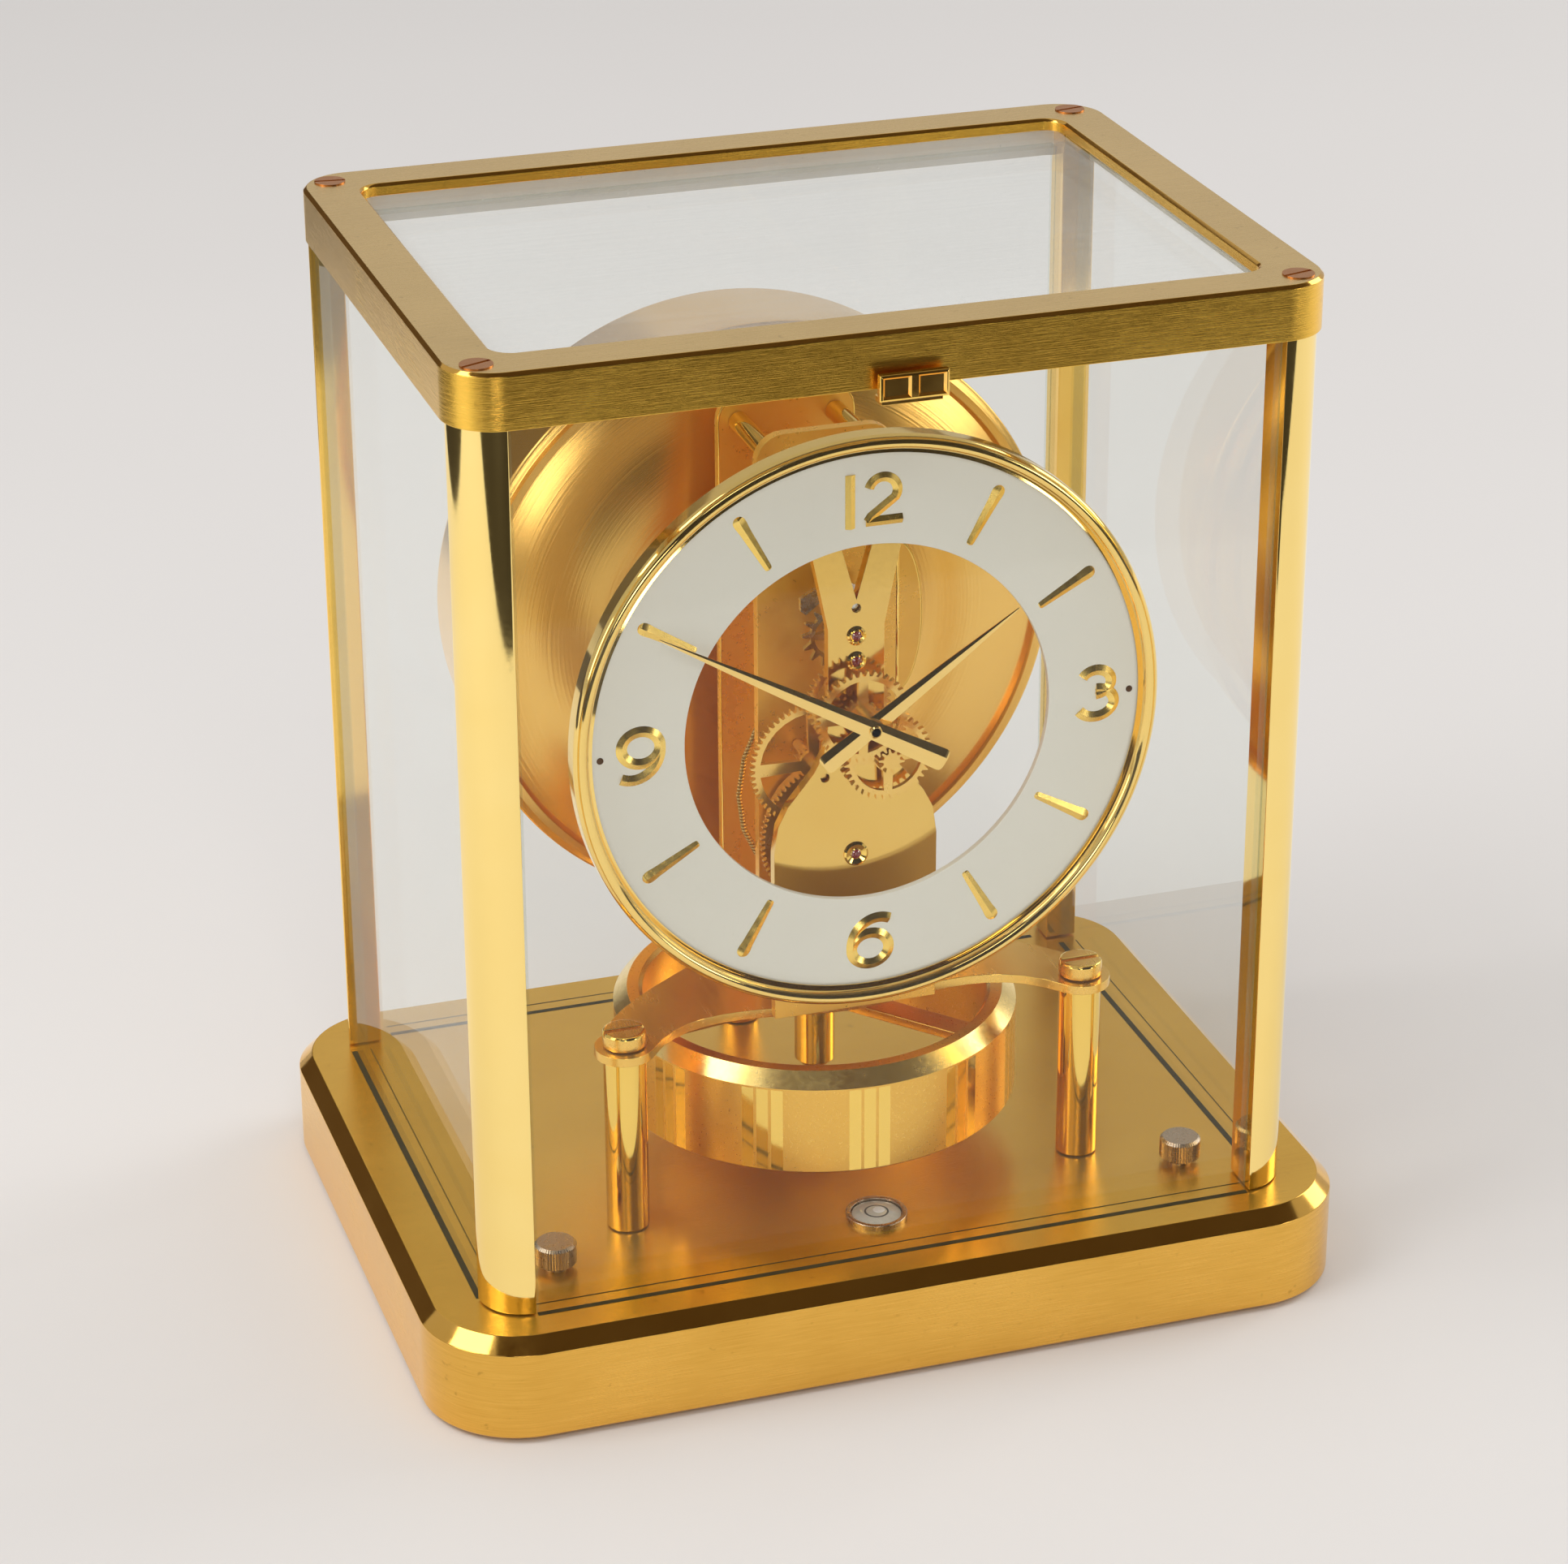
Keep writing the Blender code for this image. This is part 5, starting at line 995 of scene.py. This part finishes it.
jewels = ((0, 0.1503, 0.0020), (0, 0.1448, 0.0020), (0.0072, 0.1212, 0.0015), (0, 0.1018, 0.0026))
for number, (x, z, reach) in enumerate(jewels):
    setting = turned([
        (0.0009, plate_face),
        (reach, plate_face),
        (reach, plate_face + 0.0003),
        (reach - 0.0004, plate_face + 0.0005),
        (0.0012, plate_face + 0.0001),
        (0.0009, plate_face + 0.0003),
    ], 48, True)
    face_forward(setting, x, z)
    make_piece(f"jewel_setting_{number + 1}", setting, [post_gilt], "case")
    stone = turned([
        (0, plate_face),
        (0.0010, plate_face),
        (0.0010, plate_face + 0.0003),
        (0.0006, plate_face + 0.00045),
        (0.0003, plate_face + 0.0002),
        (0, plate_face + 0.0002),
    ], 32)
    face_forward(stone, x, z)
    make_piece(f"jewel_{number + 1}", stone, [ruby], "case")

# Going train and escapement
# Gilt wheels with cut teeth turn between the plates, from the spring barrel at the foot to the
# steel escape wheel and its pallets at the top. The motion work under the dial is the same.
wheel_gilt = gilded("gilt wheel", (0.98, 0.66, 0.21, 1), (0.90, 0.54, 0.13, 1), 0.22, metal=0.8)
bright_steel = polished("bright steel", (0.86, 0.82, 0.75, 1), (0.72, 0.67, 0.60, 1), 0.22)
for node, body, finish, slot in (
    ("barrel", "spring_barrel", wheel_gilt, "gilt"),
    ("second_wheel", "second", wheel_gilt, "gilt"),
    ("centre_wheel", "centre", wheel_gilt, "gilt"),
    ("minute_wheel", "minute", wheel_gilt, "gilt"),
    ("hour_wheel", "hour", wheel_gilt, "gilt"),
    ("escape_wheel", "escape", bright_steel, "steel"),
    ("pallet_lever", "pallets", bright_steel, "steel"),
):
    wheel = bmesh.new()
    wheel.from_mesh(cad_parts[node].data)
    bmesh.ops.remove_doubles(wheel, verts=wheel.verts, dist=2e-6)
    make_piece(node + "_cut", wheel, [finish], body, [node], angle=28)

# Winding chain
# A fine gilt chain hangs behind the back plate and bows out beside the barrel.
# Its links are too small to part, so they show as a close twist.
chain_gilt = Finish("gilt chain", Metallic=1.0, Roughness=0.2)
chain_place = chain_gilt.coordinates()
chain_waves = chain_gilt.node(
    "ShaderNodeTexWave", {"bands_direction": "Z"}, {"Vector": chain_place, "Scale": 420.0},
)
# The wave bands run from dark to light gilt; the dark bands are painted shade between the links.
chain_gilt.set(chain_gilt.skin, {
    "Base Color": chain_gilt.blend(chain_waves, (0.55, 0.30, 0.07, 1), (0.95, 0.68, 0.27, 1)),
    "Normal": chain_gilt.bump(chain_waves, 0.9, 0.0003),
})
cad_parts["winding_chain"].material_slots[0].material = chain_gilt.material

# Dial
# The ring dial is brass lacquered off-white, open in the middle to show the movement. Four posts
# carry it from behind, a polished bezel clips over its edge, and two small screws show on it.
low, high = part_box("dial_ring")
dial_height = (low.z + high.z) / 2
dial_back = -high.y
dial_face = -low.y
dial_out = 0.0590
dial_in = 0.0387
lathe_steps = 192
lacquer = Finish("off-white lacquer", Coat_Weight=0.35, Coat_Roughness=0.12)
lacquer_cloud = lacquer.noise(lacquer.coordinates(), 40.0, 3.0)
lacquer_fine = lacquer.noise(lacquer.coordinates(), 1400.0, 2.0)
lacquer.set(lacquer.skin, {
    "Base Color": lacquer.blend(lacquer_cloud, (0.86, 0.835, 0.74, 1), (0.92, 0.895, 0.805, 1)),
    "Roughness": lacquer.stretch(lacquer_fine, 0.3, 0.7, 0.27, 0.37),
    "Normal": lacquer.bump(lacquer_fine, 0.08, 0.00002),
})
dial = turned([
    (dial_in, dial_back), (dial_out, dial_back), (dial_out, dial_face), (dial_in, dial_face),
], lathe_steps, True)
ease(dial, 0.00018, angle=40, steps=3)
face_forward(dial, 0, dial_height)
make_piece("dial", dial, [lacquer], "case", ["dial_ring"])

bezel_brass = polished("polished brass bezel", (0.99, 0.72, 0.25, 1), (0.92, 0.62, 0.18, 1), 0.06)
bezel_out = 0.0620
bezel_lip = dial_out - 0.0010
bezel_back = -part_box("bezel")[1].y
bezel_crown = -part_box("bezel")[0].y
bezel_gap = 0.0003
bead_middle = 0.0604
bead_half = bezel_out - bead_middle
bead_rise = 0.0018
bead_seat = bezel_crown - bead_rise
bead_steps = 16
bead = [
    (dial_out + bezel_gap, bezel_back),
    (bezel_out - bezel_gap, bezel_back),
    (bezel_out, bezel_back + bezel_gap),
]
for step in range(bead_steps + 1):
    turn = math.pi * step / bead_steps
    bead.append((bead_middle + bead_half * math.cos(turn), bead_seat + bead_rise * math.sin(turn)))
bead += [
    (bead_middle - bead_half - 0.0001, bead_seat - 0.0002),
    (bezel_lip, dial_face + 2 * bezel_gap),
    (bezel_lip, dial_face + bezel_gap),
    (dial_out + bezel_gap, dial_face + bezel_gap),
]
bezel = turned(bead, lathe_steps, True)
face_forward(bezel, 0, dial_height)
make_piece("bezel_ring", bezel, [bezel_brass], "case", ["bezel"], angle=40)

pin_radius = 0.0007
pin_reach = 0.0562
for name, side in (("left", -1), ("right", 1)):
    pin = turned([
        (0, dial_face - 0.0004),
        (pin_radius, dial_face - 0.0004),
        (pin_radius, dial_face + 0.0001),
        (0, dial_face + 0.0003),
    ], 24)
    face_forward(pin, side * pin_reach, dial_height)
    make_piece("dial_screw_" + name, pin, [slot_dark], "case")

# Hour marks
# Applied marks in faceted gilt brass: numbers at the quarters, and drop-shaped batons between
# them. Each is cut with a ridge along its middle, and pinned through the dial.
mark_gilt = polished("faceted gilt mark", (1.0, 0.72, 0.22, 1), (0.94, 0.63, 0.15, 1), 0.20)
number_height = 0.0128
stroke_half = 0.00122
ridge_share = 0.45
mark_seat = 0.00002


def ridged(paths, name):
    """Strokes with a ridge along the middle: a curve with a four-sided section, cut flat behind."""
    line = bpy.data.curves.new(name, "CURVE")
    line.dimensions = "3D"
    line.bevel_depth = 1.0
    line.bevel_resolution = 0
    line.use_fill_caps = True
    for path in paths:
        run = line.splines.new("POLY")
        run.points.add(len(path) - 1)
        for point, (x, y, half) in zip(run.points, path):
            point.co = (x, y, 0, 1)
            point.radius = half
    made = bpy.data.objects.new(name, line)
    shape = bmesh.new()
    shape.from_mesh(made.to_mesh())
    made.to_mesh_clear()
    bpy.data.objects.remove(made)
    bpy.data.curves.remove(line)
    bmesh.ops.remove_doubles(shape, verts=shape.verts, dist=1e-6)
    bmesh.ops.scale(shape, vec=(1, 1, ridge_share), verts=shape.verts)
    cut = sliced(shape, (0, 0, mark_seat), (0, 0, 1), clear_inner=True)
    bmesh.ops.holes_fill(shape, edges=picked(cut, bmesh.types.BMEdge), sides=0)
    bmesh.ops.recalc_face_normals(shape, faces=shape.faces)
    return shape


def bow(centre, across, up, start, end, steps=20):
    """Points along an oval bow, in the order that the graver cuts them."""
    points = []
    for step in range(steps + 1):
        turn = math.radians(start + (end - start) * step / steps)
        x = centre[0] + across * math.cos(turn)
        y = centre[1] + up * math.sin(turn)
        points.append((x, y, stroke_half))
    return points


half = number_height / 2 - stroke_half
one = [[(-0.0056, -half - stroke_half, stroke_half), (-0.0056, half + stroke_half, stroke_half)]]
two_bow = bow((0.0022, half - 0.0033), 0.0034, 0.0033, 165, -32)
two = [
    two_bow + [(-0.0006, -half + 0.0012, stroke_half), (-0.0014, -half, stroke_half)],
    [(-0.0019, -half, stroke_half), (0.0068, -half, stroke_half)],
]
three = [
    bow((-0.0006, half - 0.0027), 0.0033, 0.0027, 152, -90),
    bow((-0.0006, -half + 0.0031), 0.0040, 0.0031, 90, -152),
]
six_ring = (0.0, -half + 0.0035)
six = [
    bow(six_ring, 0.0040, 0.0035, 180, -180, 32),
    bow((0.0018, six_ring[1] + 0.0006), 0.0058, half - six_ring[1] - 0.0006, 186, 66, 18),
]
nine = [[(-x, -y, width) for x, y, width in path] for path in six]
for name, paths, size, across, up in (
    ("twelve", one + two, 0.88, 0.0008, 0.0482),
    ("three", three, 1.0, 0.0495, 0.0),
    ("six", six, 1.0, 0.0004, -0.0487),
    ("nine", nine, 1.0, -0.0478, 0.0),
):
    number = ridged(paths, name)
    bmesh.ops.scale(number, vec=(size, size, 1), verts=number.verts)
    bmesh.ops.translate(number, vec=(across, up, dial_face), verts=number.verts)
    face_forward(number, 0, dial_height)
    make_piece("mark_" + name, number, [mark_gilt], "case", angle=12)

baton = [
    (0.0417, 0.00045),
    (0.0419, 0.00075),
    (0.0424, 0.00085),
    (0.0520, 0.00125),
    (0.0532, 0.0014),
    (0.0540, 0.0014),
    (0.0546, 0.0012),
    (0.0550, 0.0008),
    (0.0552, 0.0003),
]
for hour in (1, 2, 4, 5, 7, 8, 10, 11):
    mark = ridged([[(radius, 0, width) for radius, width in baton]], "baton")
    spun(mark, 90 - 30 * hour)
    bmesh.ops.translate(mark, vec=(0, 0, dial_face), verts=mark.verts)
    face_forward(mark, 0, dial_height)
    make_piece(f"mark_{hour}", mark, [mark_gilt], "case", angle=12)

# Hands
# Two gilt hands, each a long taper with two filed facets and a blunt counter-tail.
# The hour hand sits on the hour pipe, and the minute hand on the arbor with a small cap.
hand_gilt = polished("gilt hand", (0.95, 0.69, 0.26, 1), (0.88, 0.58, 0.18, 1), 0.08)
ridge_lean = 0.3
edge_height = 0.0002
facet_slope = 0.14
hour_stations = [
    (-0.0125, 0.0016),
    (-0.0121, 0.0021),
    (-0.0115, 0.0023),
    (0, 0.0020),
    (0.0190, 0.00125),
    (0.0380, 0.00015),
]
minute_stations = [
    (-0.0175, 0.0017),
    (-0.0171, 0.0022),
    (-0.0165, 0.0024),
    (0, 0.0019),
    (0.0260, 0.00115),
    (0.0515, 0.00015),
]
for name, body, angle, upper, stations in (
    ("hour", "hour", 55, 1, hour_stations),
    ("minute", "centre", 300, -1, minute_stations),
):
    low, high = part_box(name + "_hand")
    leaf = bmesh.new()
    rings = []
    for along, half in stations:
        crest = edge_height + facet_slope * (1 + ridge_lean) * half
        section = [(-1, 0), (-1, edge_height), (ridge_lean, crest), (1, edge_height), (1, 0)]
        rings.append([leaf.verts.new((along, upper * side * half, height)) for side, height in section])
    for one_ring, next_ring in zip(rings, rings[1:]):
        for here in range(len(one_ring)):
            there = (here + 1) % len(one_ring)
            leaf.faces.new((one_ring[here], one_ring[there], next_ring[there], next_ring[here]))
    leaf.faces.new(rings[0])
    leaf.faces.new(rings[-1])
    bmesh.ops.recalc_face_normals(leaf, faces=leaf.faces)
    spun(leaf, 90 - angle)
    bmesh.ops.translate(leaf, vec=(0, 0, -high.y), verts=leaf.verts)
    face_forward(leaf, 0, dial_height)
    make_piece("hand_" + name, leaf, [hand_gilt], body, [name + "_hand"], angle=6)
cap_back = -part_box("minute_hand")[1].y
cap_front = cap_back + 0.0010
cap_radius = 0.0013
cap = turned([
    (0, cap_back),
    (cap_radius, cap_back),
    (cap_radius, cap_back + 0.0008),
    (0.0010, cap_front),
    (0, cap_front),
], 32)
face_forward(cap, 0, dial_height)
make_piece("hand_cap", cap, [hand_gilt], "centre")

# Bellows drum
# A spun brass cover with a rounded edge closes the drum that holds the gas bellows. It is gilded
# satin over fine turning lines, which throw light in streaks from the middle.
drum_low, drum_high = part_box("drum_cover")
drum_height = (drum_low.z + drum_high.z) / 2
drum_out = (drum_high.x - drum_low.x) / 2
drum_gilt = Finish("turned satin gilt", Metallic=0.88)
drum_place = drum_gilt.coordinates((1, 0, 1), (0, 0, drum_height))
drum_radius = drum_gilt.node("ShaderNodeVectorMath", {"operation": "LENGTH"}, {0: drum_place}, 1)
drum_line = drum_gilt.node(
    "ShaderNodeTexNoise", {"noise_dimensions": "1D"}, {"W": drum_radius, "Scale": 1500.0, "Detail": 3.0}, 0,
)
drum_cloud = drum_gilt.noise(drum_gilt.coordinates(), 25.0, 2.0)
drum_gilt.set(drum_gilt.skin, {
    "Base Color": drum_gilt.blend(
        drum_line * 0.6 + drum_cloud * 0.4, (0.90, 0.53, 0.13, 1), (0.96, 0.61, 0.18, 1),
    ),
    "Roughness": drum_gilt.stretch(drum_cloud, 0.2, 0.8, 0.21, 0.25),
    "Normal": drum_gilt.bump(drum_line, 0.35, 0.00006),
})
wall = 0.0016
face_at = -drum_low.y
rim_back = -drum_high.y
edge_round = 0.0008
dish_start = 0.036
dish_fall = 0.0051
cover_hole = 0.0030
round_steps = 12
shell = [
    (cover_hole, face_at - wall),
    (dish_start, face_at - wall),
    (drum_out - wall - 0.008, face_at - wall - dish_fall * 0.45),
    (drum_out - wall, rim_back),
    (drum_out - 0.0003, rim_back),
    (drum_out, rim_back + 0.0003),
]
for step in range(round_steps + 1):
    turn = math.pi / 2 * step / round_steps
    shell.append((
        drum_out - edge_round + edge_round * math.cos(turn),
        face_at - dish_fall - edge_round + edge_round * math.sin(turn),
    ))
dish_width = drum_out - edge_round - dish_start
for step in range(1, round_steps + 1):
    inward = drum_out - edge_round - dish_width * step / round_steps
    share = (inward - dish_start) / dish_width
    shell.append((inward, face_at - dish_fall * share ** 2))
shell.append((cover_hole, face_at))
cover = turned(shell, lathe_steps, True)
face_forward(cover, 0, drum_height)
make_piece("drum_front", cover, [drum_gilt], "case", ["drum_cover"])
low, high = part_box("drum_can")
can_out = (high.x - low.x) / 2
can_back = -high.y
can_round = 0.004
can = [
    (0, can_back + wall),
    (can_out - can_round, can_back + wall),
    (can_out - wall, can_back + can_round),
    (can_out - wall, -low.y),
    (can_out, -low.y),
]
for step in range(round_steps + 1):
    turn = math.pi / 2 * step / round_steps
    around = can_out - can_round + can_round * math.cos(turn)
    can.append((around, can_back + can_round - can_round * math.sin(turn)))
can.append((0, can_back))
pan = turned(can, lathe_steps)
face_forward(pan, 0, drum_height)
make_piece("drum_can_turned", pan, [drum_gilt], "case", ["drum_can"])
eased_piece("drum_hub_turned", "drum_hub", 0.0004, [drum_gilt], "case")
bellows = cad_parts["bellows"]
bellows.material_slots[0].material = copper_gilt.material
